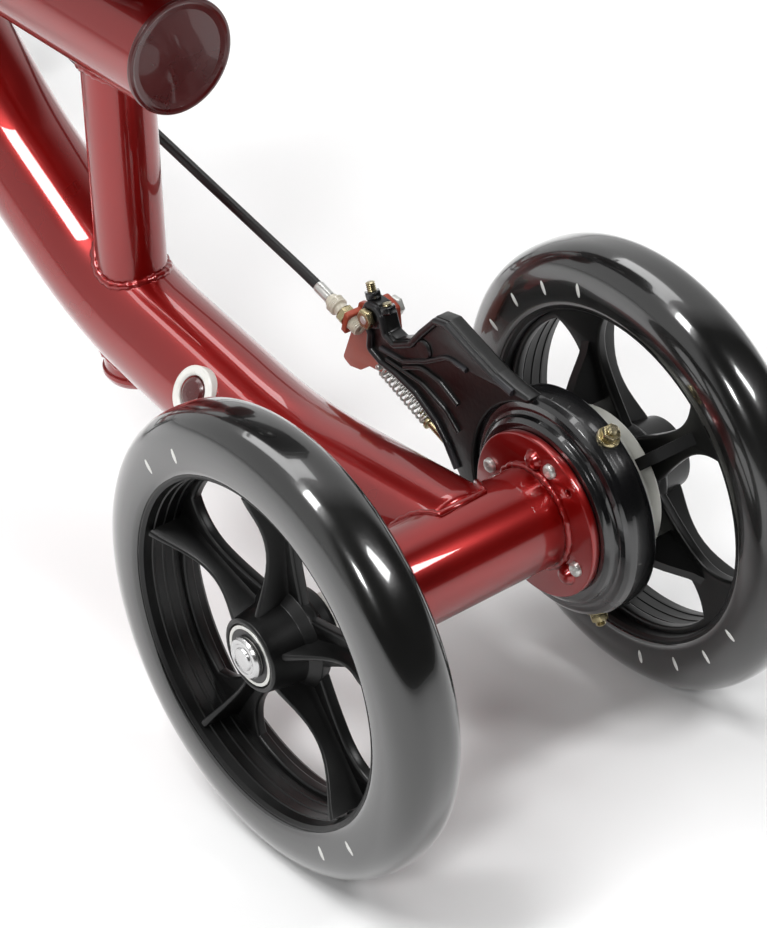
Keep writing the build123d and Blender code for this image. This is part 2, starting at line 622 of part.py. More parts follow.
def make_core(x, y, side, start):
    """The moulded wheel: a barrel rim, a hub with two bearing seats and ribbed spokes."""
    barrel = tyre_bore - RIM_WALL
    hub_plane = across(x - side * HUB_INNER, y, AXLE_Z)
    with BuildPart() as core:
        with BuildSketch(across(x - rim_half, y, AXLE_Z)):
            tube(tyre_bore, RIM_WALL)
        extrude(amount=2 * rim_half)
        with BuildSketch(across(x - side * 9.0, y, AXLE_Z)):
            with PolarLocations(0, SPOKE_COUNT, start_angle=start):
                Polygon(
                    (HUB_RADIUS - 3, -9), (0.5 * barrel, -7), (barrel - 6, -12),
                    (barrel + 1, -22), (barrel + 1, 22), (barrel - 6, 12),
                    (0.5 * barrel, 7), (HUB_RADIUS - 3, 9), align=None,
                )
            Circle(HUB_RADIUS)
            with BuildSketch(mode=Mode.PRIVATE) as outside:
                Circle(2 * barrel)
                Circle(barrel + 1, mode=Mode.SUBTRACT)
            add(outside.sketch, mode=Mode.SUBTRACT)
        extrude(amount=side * SPOKE_WEB)
        with BuildSketch(across(x - side * 6.0, y, AXLE_Z)):
            with PolarLocations(0, SPOKE_COUNT, start_angle=start):
                with Locations(((HUB_RADIUS + barrel) / 2 - 1, 0)):
                    Rectangle(barrel - HUB_RADIUS + 4, SPOKE_RIB)
        extrude(amount=side * (rim_half + 4.0))
        with BuildSketch(hub_plane):
            Circle(HUB_RADIUS)
        extrude(amount=side * (HUB_INNER + HUB_OUTER))
        with BuildSketch(hub_plane):
            Circle(AXLE_RADIUS + 2.0)
        extrude(amount=side * (HUB_INNER + HUB_OUTER), mode=Mode.SUBTRACT)
        far_end = hub_plane.offset(side * (HUB_INNER + HUB_OUTER))
        for end, inward in ((hub_plane, side), (far_end, -side)):
            with BuildSketch(end):
                Circle(BEARING_RADIUS)
            extrude(amount=inward * BEARING_WIDTH, mode=Mode.SUBTRACT)
    return core


def make_bearings(x, y, side):
    """The two ball bearings of a wheel, each flush with an end of the hub."""
    with BuildPart() as bearings:
        for place, inward in ((-HUB_INNER, side), (HUB_OUTER, -side)):
            with BuildSketch(across(x + side * place, y, AXLE_Z)):
                Circle(BEARING_RADIUS)
                Circle(AXLE_RADIUS + RUNNING_FIT, mode=Mode.SUBTRACT)
            extrude(amount=inward * BEARING_WIDTH)
    return bearings


for corner, (x, y, side, start) in wheel_places.items():
    pieces["tyre_" + corner] = make_tyre(x, y)
    pieces["wheel_" + corner] = make_core(x, y, side, start)
    pieces["bearings_" + corner] = make_bearings(x, y, side)

# --- Front steering ------------------------------------------------------------------

front_hub_inner = FRONT_TRACK / 2 - HUB_INNER
front_hub_outer = FRONT_TRACK / 2 + HUB_OUTER
PLATE_INNER = KINGPIN_OFFSET + SLEEVE_RADIUS + 2.0
PLATE_THICKNESS = 6.0
EAR_WIDTH = 28.0


def make_knuckle(side):
    """The bracket that turns on a kingpin, with its stub axle, steering arm and axle nut."""
    with BuildPart() as knuckle:
        for height in (ear_bottom, ear_top - EAR_THICKNESS):
            with BuildSketch(Plane.XY.offset(height)):
                with Locations((side * KINGPIN_OFFSET, FRONT_Y)):
                    Circle(EAR_WIDTH / 2)
                    Rectangle(PLATE_INNER + PLATE_THICKNESS - KINGPIN_OFFSET, EAR_WIDTH,
                              align=(Align.MIN if side > 0 else Align.MAX, Align.CENTER))
                    Circle(KINGPIN_RADIUS + RUNNING_FIT, mode=Mode.SUBTRACT)
            extrude(amount=EAR_THICKNESS)
        with BuildSketch(across(side * PLATE_INNER, FRONT_Y, (ear_bottom + ear_top) / 2)):
            Rectangle(EAR_WIDTH, ear_top - ear_bottom)
        extrude(amount=side * PLATE_THICKNESS)
        with BuildSketch(Plane.XY.offset(ear_bottom)):
            with Locations((side * KINGPIN_OFFSET, FRONT_Y - STEER_ARM)):
                Circle(EYE_RADIUS)
                Rectangle(2 * EYE_RADIUS, STEER_ARM - EAR_WIDTH / 2 + 4.0,
                          align=(Align.CENTER, Align.MIN))
                Circle(TIE_BOLT_RADIUS + RUNNING_FIT, mode=Mode.SUBTRACT)
        extrude(amount=EAR_THICKNESS)
        with BuildSketch(across(side * (PLATE_INNER + PLATE_THICKNESS), FRONT_Y, AXLE_Z)):
            Circle(SPACER_RADIUS)
        extrude(amount=side * (front_hub_inner - PLATE_INNER - PLATE_THICKNESS - FACE_GAP))
        with BuildSketch(across(side * (PLATE_INNER + PLATE_THICKNESS), FRONT_Y, AXLE_Z)):
            Circle(AXLE_RADIUS)
        extrude(amount=side * (front_hub_outer + CAP_LENGTH - PLATE_INNER - PLATE_THICKNESS))
        with BuildSketch(across(side * (front_hub_outer + FACE_GAP), FRONT_Y, AXLE_Z)):
            Circle(CAP_RADIUS)
        extrude(amount=side * (CAP_LENGTH - FACE_GAP))
    return knuckle


pieces["knuckle_left"] = make_knuckle(-1)
pieces["knuckle_right"] = make_knuckle(1)

EYE_HEIGHT = 10.0
tie_top = ear_bottom - FACE_GAP
tie_places = [(x, FRONT_Y - STEER_ARM) for x in (-KINGPIN_OFFSET, 0, KINGPIN_OFFSET)]
with BuildPart() as tie_rod:
    with BuildSketch(across(-KINGPIN_OFFSET, FRONT_Y - STEER_ARM, tie_top - EYE_HEIGHT / 2)):
        Circle(TIE_ROD_RADIUS - 0.2)
    extrude(amount=2 * KINGPIN_OFFSET)
    with BuildSketch(Plane.XY.offset(tie_top)):
        with Locations(tie_places):
            Circle(EYE_RADIUS)
    extrude(amount=-EYE_HEIGHT)
    with Locations([(*place, tie_top) for place in tie_places]):
        Cylinder(TIE_BOLT_RADIUS, 4 * EYE_HEIGHT, mode=Mode.SUBTRACT)
pieces["tie_rod"] = tie_rod

with BuildPart() as tie_rod_bolts:
    for x, y in tie_places:
        with BuildSketch(Plane.XY.offset(tie_top - EYE_HEIGHT)):
            with Locations((x, y)):
                Circle(TIE_BOLT_RADIUS)
        extrude(amount=EYE_HEIGHT + 2 * FACE_GAP + EAR_THICKNESS)
        with BuildSketch(Plane.XY.offset(tie_top - EYE_HEIGHT)):
            with Locations((x, y)):
                hexagon(13.0)
        extrude(amount=-5.0)
        with BuildSketch(Plane.XY.offset(tie_top + 2 * FACE_GAP + EAR_THICKNESS)):
            with Locations((x, y)):
                hexagon(13.0)
        extrude(amount=6.0)
pieces["tie_rod_bolts"] = tie_rod_bolts

PITMAN_HUB = 19.0
HUB_DROP = 12.0
with BuildPart() as pitman_arm:
    with BuildSketch(Plane.XY.offset(ear_bottom)):
        with Locations((0, FRONT_Y)):
            Circle(PITMAN_HUB)
        with Locations((0, FRONT_Y - STEER_ARM)):
            Circle(EYE_RADIUS)
            Rectangle(2 * EYE_RADIUS, STEER_ARM, align=(Align.CENTER, Align.MIN))
            Circle(TIE_BOLT_RADIUS + RUNNING_FIT, mode=Mode.SUBTRACT)
    extrude(amount=EAR_THICKNESS)
    with BuildSketch(Plane.XY.offset(ear_bottom)):
        with Locations((0, FRONT_Y)):
            Circle(PITMAN_HUB)
    extrude(amount=-HUB_DROP)
    with Locations((0, FRONT_Y, ear_bottom)):
        Cylinder(STEERER_RADIUS, 4 * HUB_DROP, mode=Mode.SUBTRACT)
pieces["pitman_arm"] = pitman_arm

# The steerer is one weldment: the shaft in the headset, the lower column and the clevis.
CLEVIS_BASE = 8.0
CLEVIS_DROP = 21.5
EAR_INNER = 20.3
EAR_PLATE = 7.0
CLEVIS_RADIUS = 20.0
ear_outer = EAR_INNER + EAR_PLATE
clevis_floor = FOLD_HEIGHT - CLEVIS_DROP
with BuildPart() as steerer:
    with BuildSketch(Plane.XY.offset(ear_bottom - HUB_DROP)):
        with Locations((0, FRONT_Y)):
            Circle(STEERER_RADIUS)
            Circle(STEERER_RADIUS - 3.0, mode=Mode.SUBTRACT)
    extrude(amount=clevis_floor - CLEVIS_BASE - ear_bottom + HUB_DROP)
    with BuildSketch(Plane.XY.offset(HEAD_TOP + CUP_FLANGE + FACE_GAP)):
        with Locations((0, FRONT_Y)):
            Circle(COLUMN_RADIUS)
            Circle(STEERER_RADIUS - 3.0, mode=Mode.SUBTRACT)
    extrude(amount=clevis_floor - CLEVIS_BASE - HEAD_TOP - CUP_FLANGE - FACE_GAP)
    with BuildSketch(Plane.XY.offset(clevis_floor - CLEVIS_BASE)):
        with Locations((0, FRONT_Y)):
            RectangleRounded(2 * ear_outer, 2 * CLEVIS_RADIUS, 5.0)
    extrude(amount=CLEVIS_BASE)
    for side in (-1, 1):
        with BuildSketch(across(side * EAR_INNER, FRONT_Y, FOLD_HEIGHT)):
            Circle(CLEVIS_RADIUS - 2.0)
            Rectangle(2 * (CLEVIS_RADIUS - 2.0), CLEVIS_DROP, align=(Align.CENTER, Align.MAX))
            Circle(FOLD_PIN_RADIUS, mode=Mode.SUBTRACT)
        extrude(amount=side * EAR_PLATE)
pieces["steerer"] = steerer

# --- Folding column and handlebar ----------------------------------------------------

# Column places are given in its own frame: sideways, forward and along the tube, from
# the fold pin.
lean = radians(COLUMN_LEAN)
column_plane = Plane(
    origin=(0, FRONT_Y, FOLD_HEIGHT), x_dir=(1, 0, 0), z_dir=(0, -sin(lean), cos(lean))
)
column_bore = STEM_RADIUS + SLIDE_FIT

with BuildPart(column_plane) as column_tube:
    with BuildSketch(across(-EAR_INNER + FACE_GAP, FRONT_Y, FOLD_HEIGHT)):
        Circle(COLUMN_RADIUS)
        Circle(FOLD_PIN_RADIUS + RUNNING_FIT, mode=Mode.SUBTRACT)
    extrude(amount=2 * (EAR_INNER - FACE_GAP))
    with BuildSketch(column_plane.offset(FOLD_PIN_RADIUS + 3.0)):
        Circle(COLUMN_RADIUS)
    extrude(amount=COLUMN_FOOT - FOLD_PIN_RADIUS - 3.0)
    with BuildSketch(column_plane.offset(COLUMN_FOOT)):
        Circle(COLUMN_RADIUS)
        Circle(column_bore, mode=Mode.SUBTRACT)
    extrude(amount=COLUMN_TOP - COLUMN_FOOT)
    with Locations((0, 0, COLUMN_TOP)):
        Box(2 * COLUMN_RADIUS, 2.0, CLAMP_HEIGHT,
            align=(Align.MAX, Align.CENTER, Align.MAX), mode=Mode.SUBTRACT)
pieces["column_tube"] = column_tube

SLEEVE_LENGTH = 56.0
SLEEVE_OUTER = 16.0
with BuildPart() as handlebar_stem:
    with BuildSketch(column_plane.offset(STEM_BOTTOM)):
        Circle(STEM_RADIUS)
        Circle(STEM_RADIUS - 2.0, mode=Mode.SUBTRACT)
    extrude(amount=BAR_RISE - STEM_BOTTOM)
    with BuildSketch(Plane(origin=column_plane.from_local_coords((0, 0, BAR_RISE)),
                           x_dir=(0, 1, 0), z_dir=(1, 0, 0))):
        Circle(SLEEVE_OUTER)
    extrude(amount=SLEEVE_LENGTH / 2, both=True)
    with BuildSketch(Plane(origin=column_plane.from_local_coords((0, 0, BAR_RISE)),
                           x_dir=(0, 1, 0), z_dir=(1, 0, 0))):
        Circle(BAR_RADIUS)
    extrude(amount=SLEEVE_LENGTH, both=True, mode=Mode.SUBTRACT)
pieces["handlebar_stem"] = handlebar_stem

bar_plane = Plane(
    origin=column_plane.from_local_coords((0, 0, BAR_RISE)), x_dir=(1, 0, 0),
    z_dir=column_plane.z_dir,
)
GRIP_CAP = 4.0
GRIP_FLANGE = 20.5
grip_start = BAR_LENGTH / 2 + GRIP_CAP - GRIP_LENGTH


def square_to_bar(x):
    """A plane square to the handlebar, at x along it."""
    return Plane(origin=bar_plane.from_local_coords((x, 0, 0)), x_dir=bar_plane.y_dir,
                 z_dir=(1, 0, 0))


with BuildPart() as handlebar:
    with BuildSketch(square_to_bar(-BAR_LENGTH / 2)):
        tube(BAR_RADIUS, 2.0)
    extrude(amount=BAR_LENGTH)
pieces["handlebar"] = handlebar

with BuildPart() as grips:
    for side in (-1, 1):
        with BuildSketch(square_to_bar(side * grip_start)):
            Circle(GRIP_RADIUS)
        extrude(amount=side * GRIP_LENGTH)
        with BuildSketch(square_to_bar(side * grip_start)):
            Circle(GRIP_FLANGE)
        extrude(amount=side * 5.0)
        with BuildSketch(square_to_bar(side * (grip_start - 1.0))):
            Circle(BAR_RADIUS)
        extrude(amount=side * (GRIP_LENGTH - GRIP_CAP + 1.0), mode=Mode.SUBTRACT)
pieces["grips"] = grips

# Brake lever on the right, in the handlebar's own frame: sideways, forward, up.
HAND_PIVOT = (86.0, 29.0)
BRACKET_WIDTH = 16.0
BRACKET_INNER = 66.0
HAND_PIN_RADIUS = 3.0
HAND_THICKNESS = 9.0
CHEEK = 3.0
STOP_PLACE = 39.0
with BuildPart() as lever_bracket:
    with BuildSketch(square_to_bar(BRACKET_INNER)):
        Circle(BAR_RADIUS + 5.0)
        Circle(BAR_RADIUS, mode=Mode.SUBTRACT)
    extrude(amount=BRACKET_WIDTH)
    cheek_gap = HAND_THICKNESS / 2 + FACE_GAP
    for height in (cheek_gap, -cheek_gap - CHEEK):
        with BuildSketch(bar_plane.offset(height)):
            with BuildLine():
                Polyline(
                    (BRACKET_INNER, BAR_RADIUS + 2.0), (BRACKET_INNER, 36.0),
                    (HAND_PIVOT[0] + 4.0, 36.0), (HAND_PIVOT[0] + 8.0, 28.0),
                    (BRACKET_INNER + BRACKET_WIDTH, BAR_RADIUS + 2.0), close=True,
                )
            make_face()
            with Locations(HAND_PIVOT):
                Circle(HAND_PIN_RADIUS, mode=Mode.SUBTRACT)
        extrude(amount=CHEEK)
    with BuildSketch(square_to_bar(BRACKET_INNER)):
        with Locations((STOP_PLACE, 0)):
            Circle(5.0)
            Circle(WIRE_RADIUS, mode=Mode.SUBTRACT)
        with Locations((32.0, 0)):
            Rectangle(6.0, 2 * cheek_gap + 2 * CHEEK)
    extrude(amount=4.0)
pieces["lever_bracket"] = lever_bracket

with BuildPart() as hand_pin:
    with BuildSketch(bar_plane.offset(-cheek_gap - CHEEK)):
        with Locations(HAND_PIVOT):
            Circle(HAND_PIN_RADIUS)
    extrude(amount=2 * (cheek_gap + CHEEK))
    for end, direction in ((cheek_gap + CHEEK, 1), (-cheek_gap - CHEEK, -1)):
        with BuildSketch(bar_plane.offset(end)):
            with Locations(HAND_PIVOT):
                Circle(HAND_PIN_RADIUS + 1.8)
        extrude(amount=direction * 1.6)
pieces["hand_pin"] = hand_pin

with BuildPart() as brake_lever:
    with BuildSketch(bar_plane.offset(-HAND_THICKNESS / 2)):
        with BuildLine():
            FilletPolyline(
                (78.0, 24.0), (90.0, 22.5), (104.0, 37.0), (124.0, 43.0), (200.0, 47.0),
                (206.0, 52.0), (200.0, 57.0), (122.0, 53.0), (98.0, 47.0), (84.0, 35.5),
                radius=2.0, close=True,
            )
        make_face()
        with Locations(HAND_PIVOT):
            Circle(HAND_PIN_RADIUS + RUNNING_FIT, mode=Mode.SUBTRACT)
    extrude(amount=HAND_THICKNESS)
    fillet(brake_lever.edges().filter_by(lambda edge: edge.length > 60.0), 2.0)
pieces["brake_lever"] = brake_lever

# --- Quick-release clamps ------------------------------------------------------------

CAM_RADIUS = 7.0
CAM_WIDTH = 12.0
CAM_SLOT = 6.0
CAM_PIN = 2.5
SKEWER_RADIUS = 2.5
LEVER_REACH = 52.0
LEVER_DEPTH = 5.0
COLLAR_WALL = 5.0
COLLAR_EAR = 17.0
EAR_NEAR = 1.5
EAR_FAR = 8.0


def make_skewer(cam_plane, length):
    """A clamp's skewer, from its nut to the cross pin that the cam lever turns on."""
    skewer_plane = Plane(cam_plane.origin, x_dir=cam_plane.x_dir, z_dir=-cam_plane.y_dir)
    with BuildPart() as skewer:
        with BuildSketch(skewer_plane):
            Circle(SKEWER_RADIUS)
        extrude(amount=length)
        with BuildSketch(cam_plane.offset(-CAM_SLOT / 2 + FACE_GAP)):
            Circle(SKEWER_RADIUS + 2.0)
        extrude(amount=CAM_SLOT - 2 * FACE_GAP)
        with BuildSketch(cam_plane.offset(-CAM_WIDTH / 2)):
            Circle(CAM_PIN)
        extrude(amount=CAM_WIDTH)
    return skewer


def make_cam_lever(cam_plane):
    """A quick-release lever. It points along the plane's X and opens towards its Y."""
    with BuildPart() as lever:
        with BuildSketch(cam_plane.offset(-CAM_WIDTH / 2)):
            Circle(CAM_RADIUS)
            with BuildLine():
                FilletPolyline(
                    (0, 0), (0, CAM_RADIUS), (LEVER_REACH - 6, LEVER_DEPTH + 3),
                    (LEVER_REACH, LEVER_DEPTH + 1), (LEVER_REACH - 3, 2), (CAM_RADIUS + 3, 1),
                    radius=1.2, close=True,
                )
            make_face()
            Circle(CAM_PIN + RUNNING_FIT, mode=Mode.SUBTRACT)
        extrude(amount=CAM_WIDTH)
        with BuildSketch(cam_plane.offset(-CAM_SLOT / 2)):
            Circle(CAM_RADIUS + 2.5)
        extrude(amount=CAM_SLOT, mode=Mode.SUBTRACT)
    return lever


def make_clamp(tube_plane, tube_radius, side):
    """A split collar below the top of a tube, with its skewer, nut and cam washer."""
    ear_x = side * (tube_radius + 11.0)
    collar_outer = tube_radius + COLLAR_WALL
    cam_y = collar_outer + 3.0
    middle = -CLAMP_HEIGHT / 2
    cam_plane = Plane(
        origin=tube_plane.from_local_coords((ear_x, -cam_y, middle)),
        x_dir=tube_plane.x_dir * -side,
        z_dir=tube_plane.z_dir * side,
    )
    skewer = make_skewer(cam_plane, cam_y + EAR_FAR + 6.5)
    bolt_plane = Plane(cam_plane.origin, x_dir=cam_plane.x_dir, z_dir=-cam_plane.y_dir)
    with BuildPart() as clamp:
        with BuildSketch(tube_plane.offset(-CLAMP_HEIGHT)):
            Circle(collar_outer)
            with Locations((side * tube_radius, 0)):
                Rectangle(COLLAR_EAR, 2 * EAR_FAR,
                          align=(Align.MIN if side > 0 else Align.MAX, Align.CENTER))
            Circle(tube_radius, mode=Mode.SUBTRACT)
            with Locations((side * tube_radius, 0)):
                Rectangle(2 * COLLAR_EAR, 2 * EAR_NEAR, mode=Mode.SUBTRACT)
        extrude(amount=CLAMP_HEIGHT)
        with BuildSketch(bolt_plane.offset(CAM_RADIUS + FACE_GAP)):
            Circle(5.4)
        extrude(amount=cam_y - CAM_RADIUS - FACE_GAP - EAR_FAR)
        with BuildSketch(bolt_plane.offset(cam_y + EAR_FAR)):
            hexagon(10.0)
        extrude(amount=5.0)
        add(skewer.part)
    return clamp, make_cam_lever(cam_plane)


post_plane = Plane(origin=(0, POST_Y, post_top), x_dir=(1, 0, 0), z_dir=(0, 0, 1))
pieces["pad_clamp"], pieces["pad_clamp_lever"] = make_clamp(post_plane, POST_RADIUS, 1)
pieces["column_clamp"], pieces["column_clamp_lever"] = make_clamp(
    column_plane.offset(COLUMN_TOP), COLUMN_RADIUS, -1
)

# The fold clamp's skewer is the left half of the fold pin.
fold_cam = Plane(
    origin=(-ear_outer - 3.0 - CAM_RADIUS - FACE_GAP, FRONT_Y, FOLD_HEIGHT),
    x_dir=(0, 0, -1),
    z_dir=(0, 1, 0),
)
fold_stub = make_skewer(fold_cam, CAM_RADIUS + FACE_GAP + 1.0)
with BuildPart() as fold_pin:
    with Locations(across(0, FRONT_Y, FOLD_HEIGHT)):
        Cylinder(FOLD_PIN_RADIUS, 2 * ear_outer)
    with BuildSketch(across(ear_outer, FRONT_Y, FOLD_HEIGHT)):
        hexagon(16.0)
    extrude(amount=6.0)
    add(fold_stub.part)
    with BuildSketch(across(-ear_outer, FRONT_Y, FOLD_HEIGHT)):
        Circle(9.0)
    extrude(amount=-3.0)
pieces["fold_pin"] = fold_pin
pieces["fold_lever"] = make_cam_lever(fold_cam)

# --- Knee pad ------------------------------------------------------------------------

BOARD_THICKNESS = 10.0
BRACKET_THICKNESS = 5.0
BRACKET_LENGTH = 150.0
BRACKET_SPACING = 120.0
PAD_BOLT = 3.0
board_bottom = PAD_TOP - PAD_THICKNESS - BOARD_THICKNESS
bracket_bottom = board_bottom - BRACKET_THICKNESS
with BuildPart() as pad_post:
    with BuildSketch(Plane.XY.offset(post_top - PAD_POST_OVERLAP)):
        with Locations((0, POST_Y)):
            tube(PAD_POST_RADIUS, 2.0)
    extrude(amount=bracket_bottom - post_top + PAD_POST_OVERLAP)
pieces["pad_post"] = pad_post

bolt_places = [(x, POST_Y + y) for x in (-20.0, 20.0)
               for y in (-BRACKET_SPACING / 2, BRACKET_SPACING / 2)]
with BuildPart() as pad_bracket:
    with BuildSketch(Plane.XY.offset(bracket_bottom)):
        with Locations((0, POST_Y)):
            RectangleRounded(64.0, BRACKET_LENGTH, 8.0)
        with Locations(bolt_places):
            Circle(PAD_BOLT, mode=Mode.SUBTRACT)
    extrude(amount=BRACKET_THICKNESS)
    with BuildSketch(Plane.XY.offset(bracket_bottom)):
        with Locations((0, POST_Y)):
            Circle(PAD_POST_RADIUS + 4.0)
            Circle(PAD_POST_RADIUS, mode=Mode.SUBTRACT)
    extrude(amount=-20.0)
pieces["pad_bracket"] = pad_bracket

with BuildPart() as pad_board:
    with BuildSketch(Plane.XY.offset(board_bottom)):
        with Locations((0, POST_Y + PAD_FORWARD)):
            RectangleRounded(PAD_WIDTH - 16.0, PAD_LENGTH - 16.0, 30.0)
        with Locations(bolt_places):
            Circle(PAD_BOLT, mode=Mode.SUBTRACT)
    extrude(amount=BOARD_THICKNESS)
pieces["pad_board"] = pad_board

with BuildPart() as pad_bolts:
    with Locations([(x, y, bracket_bottom) for x, y in bolt_places]):
        Cylinder(PAD_BOLT, BOARD_THICKNESS + BRACKET_THICKNESS,
                 align=(Align.CENTER, Align.CENTER, Align.MIN))
        Cylinder(2 * PAD_BOLT, 3.5, align=(Align.CENTER, Align.CENTER, Align.MAX))
pieces["pad_bolts"] = pad_bolts

with BuildPart() as pad_cushion:
    with BuildSketch(Plane.XY.offset(PAD_TOP - PAD_THICKNESS)):
        with Locations((0, POST_Y + PAD_FORWARD)):
            RectangleRounded(PAD_WIDTH, PAD_LENGTH, 34.0)
    extrude(amount=PAD_THICKNESS)
    fillet(pad_cushion.faces().sort_by(Axis.Z)[-1].edges(), 20.0)
    fillet(pad_cushion.faces().sort_by(Axis.Z)[0].edges(), 4.0)
pieces["pad_cushion"] = pad_cushion

# --- Brake cable ---------------------------------------------------------------------

# The cable runs straight from the brake to the spine's right side, follows the spine to
# the head tube, climbs beside the column and loops over to the brake lever.
cable_start = tab_plane.from_local_coords((0, 0, ADJUSTER_FRONT))
cable_lead = tab_plane.from_local_coords((0, 0, ADJUSTER_FRONT + 12.0))
cable_end = bar_plane.from_local_coords((BRACKET_INNER, STOP_PLACE, 0))
cable_tail = bar_plane.from_local_coords((BRACKET_INNER - 16.0, STOP_PLACE, 0))
CABLE_FRAME = (
    cable_start, cable_lead, (28.3, 50.0, 212.0), (28.3, 100.0, 253.5),
    (28.3, 140.0, 278.0), (28.3, 195.0, 288.5), (28.4, 252.0, 296.6), (28.8, 292.0, 302.2),
)
CABLE_LOWER = (
    (28.8, 292.0, 302.2), (29.0, 312.0, 305.0), (37.5, 334.0, 315.0), (41.0, 345.0, 345.0),
    (41.0, 345.5, 395.0), (40.5, 345.2, 445.0), (40.0, 344.5, 496.0), (36.0, 338.0, 530.0),
    (27.0, 332.5, 568.0), (19.7, 327.64, 604.0), (19.7, 324.0, 630.0),
)
CABLE_UPPER = (
    (19.7, 324.0, 630.0), (19.7, 321.2, 650.0), (22.0, 323.0, 690.0), (21.0, 347.0, 735.0),
    (14.0, 368.0, 775.0), (14.0, 370.0, 812.0), (28.0, 350.0, 838.0), cable_tail, cable_end,
)


def cable_arcs(points):
    """The bend radius at each corner: as large as the shorter run beside it allows."""
    radii = []
    for before, corner, after in zip(points, points[1:], points[2:]):
        arriving = Vector(corner) - Vector(before)
        leaving = Vector(after) - Vector(corner)
        turn = radians(arriving.get_angle(leaving))
        radii.append(0.45 * min(arriving.length, leaving.length) / tan(turn / 2))
    return radii


for name, points in (
    ("brake_cable", CABLE_FRAME), ("cable_lower", CABLE_LOWER), ("cable_upper", CABLE_UPPER)
):
    with BuildLine() as route:
        FilletPolyline(points, radius=cable_arcs(points))
    with BuildPart() as cable:
        with BuildSketch(Plane(route.line @ 0, z_dir=route.line % 0)):
            Circle(CABLE_RADIUS)
        sweep(path=route.line)
    pieces[name] = cable

for name, piece in pieces.items():
    piece.part.label = name
    export_step(piece.part, f"parts/{name}.step")
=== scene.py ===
"""Looks for the four-wheeled knee scooter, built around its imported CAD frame.

Metres, with X to the rider's right, Y forward and Z up. Local shapes are drawn in
millimetres and placed with a matrix.
"""

import json
from math import atan2, cos, exp, hypot, pi, radians, sin, tan

import bmesh
import bpy
from mathutils import Matrix, Vector, noise


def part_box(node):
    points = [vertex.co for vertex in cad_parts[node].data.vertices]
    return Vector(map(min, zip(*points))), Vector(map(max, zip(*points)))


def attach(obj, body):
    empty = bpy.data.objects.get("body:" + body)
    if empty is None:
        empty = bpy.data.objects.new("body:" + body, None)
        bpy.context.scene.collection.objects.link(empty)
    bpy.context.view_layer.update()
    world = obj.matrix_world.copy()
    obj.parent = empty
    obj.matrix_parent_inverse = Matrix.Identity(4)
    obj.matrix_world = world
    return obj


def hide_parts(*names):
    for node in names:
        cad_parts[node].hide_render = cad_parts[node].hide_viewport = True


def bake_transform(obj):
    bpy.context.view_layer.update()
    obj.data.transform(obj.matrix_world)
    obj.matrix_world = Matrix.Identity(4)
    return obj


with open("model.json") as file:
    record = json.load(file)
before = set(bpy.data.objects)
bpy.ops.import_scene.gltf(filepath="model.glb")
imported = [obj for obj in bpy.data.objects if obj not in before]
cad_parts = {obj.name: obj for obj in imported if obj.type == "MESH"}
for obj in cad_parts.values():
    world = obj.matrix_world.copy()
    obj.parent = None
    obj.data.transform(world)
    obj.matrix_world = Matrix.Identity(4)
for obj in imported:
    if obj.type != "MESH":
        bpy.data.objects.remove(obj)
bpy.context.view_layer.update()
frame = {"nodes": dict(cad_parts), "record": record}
nodes = frame["nodes"]
scene = bpy.context.scene

# --- Sizes, in millimetres as the CAD has them ---------------------------------------

REAR_Y = -345.0
FRONT_Y = 345.0
AXLE_Z = 101.6
POST_Y = -114.0
TYRE_OUTER = 101.6
TYRE_BORE = 78.0
TYRE_HALF = 16.0
RIM_HALF = 14.4
BARREL = 74.0
HUB_RADIUS = 17.5
HUB_INNER = 17.0
HUB_OUTER = 15.5
SPINE_RADIUS = 25.4
TOP_HEIGHT = 255.0
POST_RADIUS = 15.9
AXLE_TUBE_RADIUS = 22.25
COLUMN_LEAN = radians(8.0)
FOLD_HEIGHT = 500.0
BAR_RISE = 335.0


# --- Materials -----------------------------------------------------------------------

def node(tree, kind, **values):
    """A shader node with its named inputs and settings filled in."""
    made = tree.nodes.new(kind)
    for key, value in values.items():
        name = key.replace("_", " ")
        socket = next((s for s in made.inputs if s.name.lower() == name and s.enabled), None)
        if socket is None:
            setattr(made, key, value)
        else:
            socket.default_value = value
    return made


def linear(red, green, blue):
    """An 8-bit screen colour as linear red, green, blue and 1."""
    return tuple(
        (c / 255 / 12.92) if c <= 10 else ((c / 255 + 0.055) / 1.055) ** 2.4
        for c in (red, green, blue)
    ) + (1.0,)


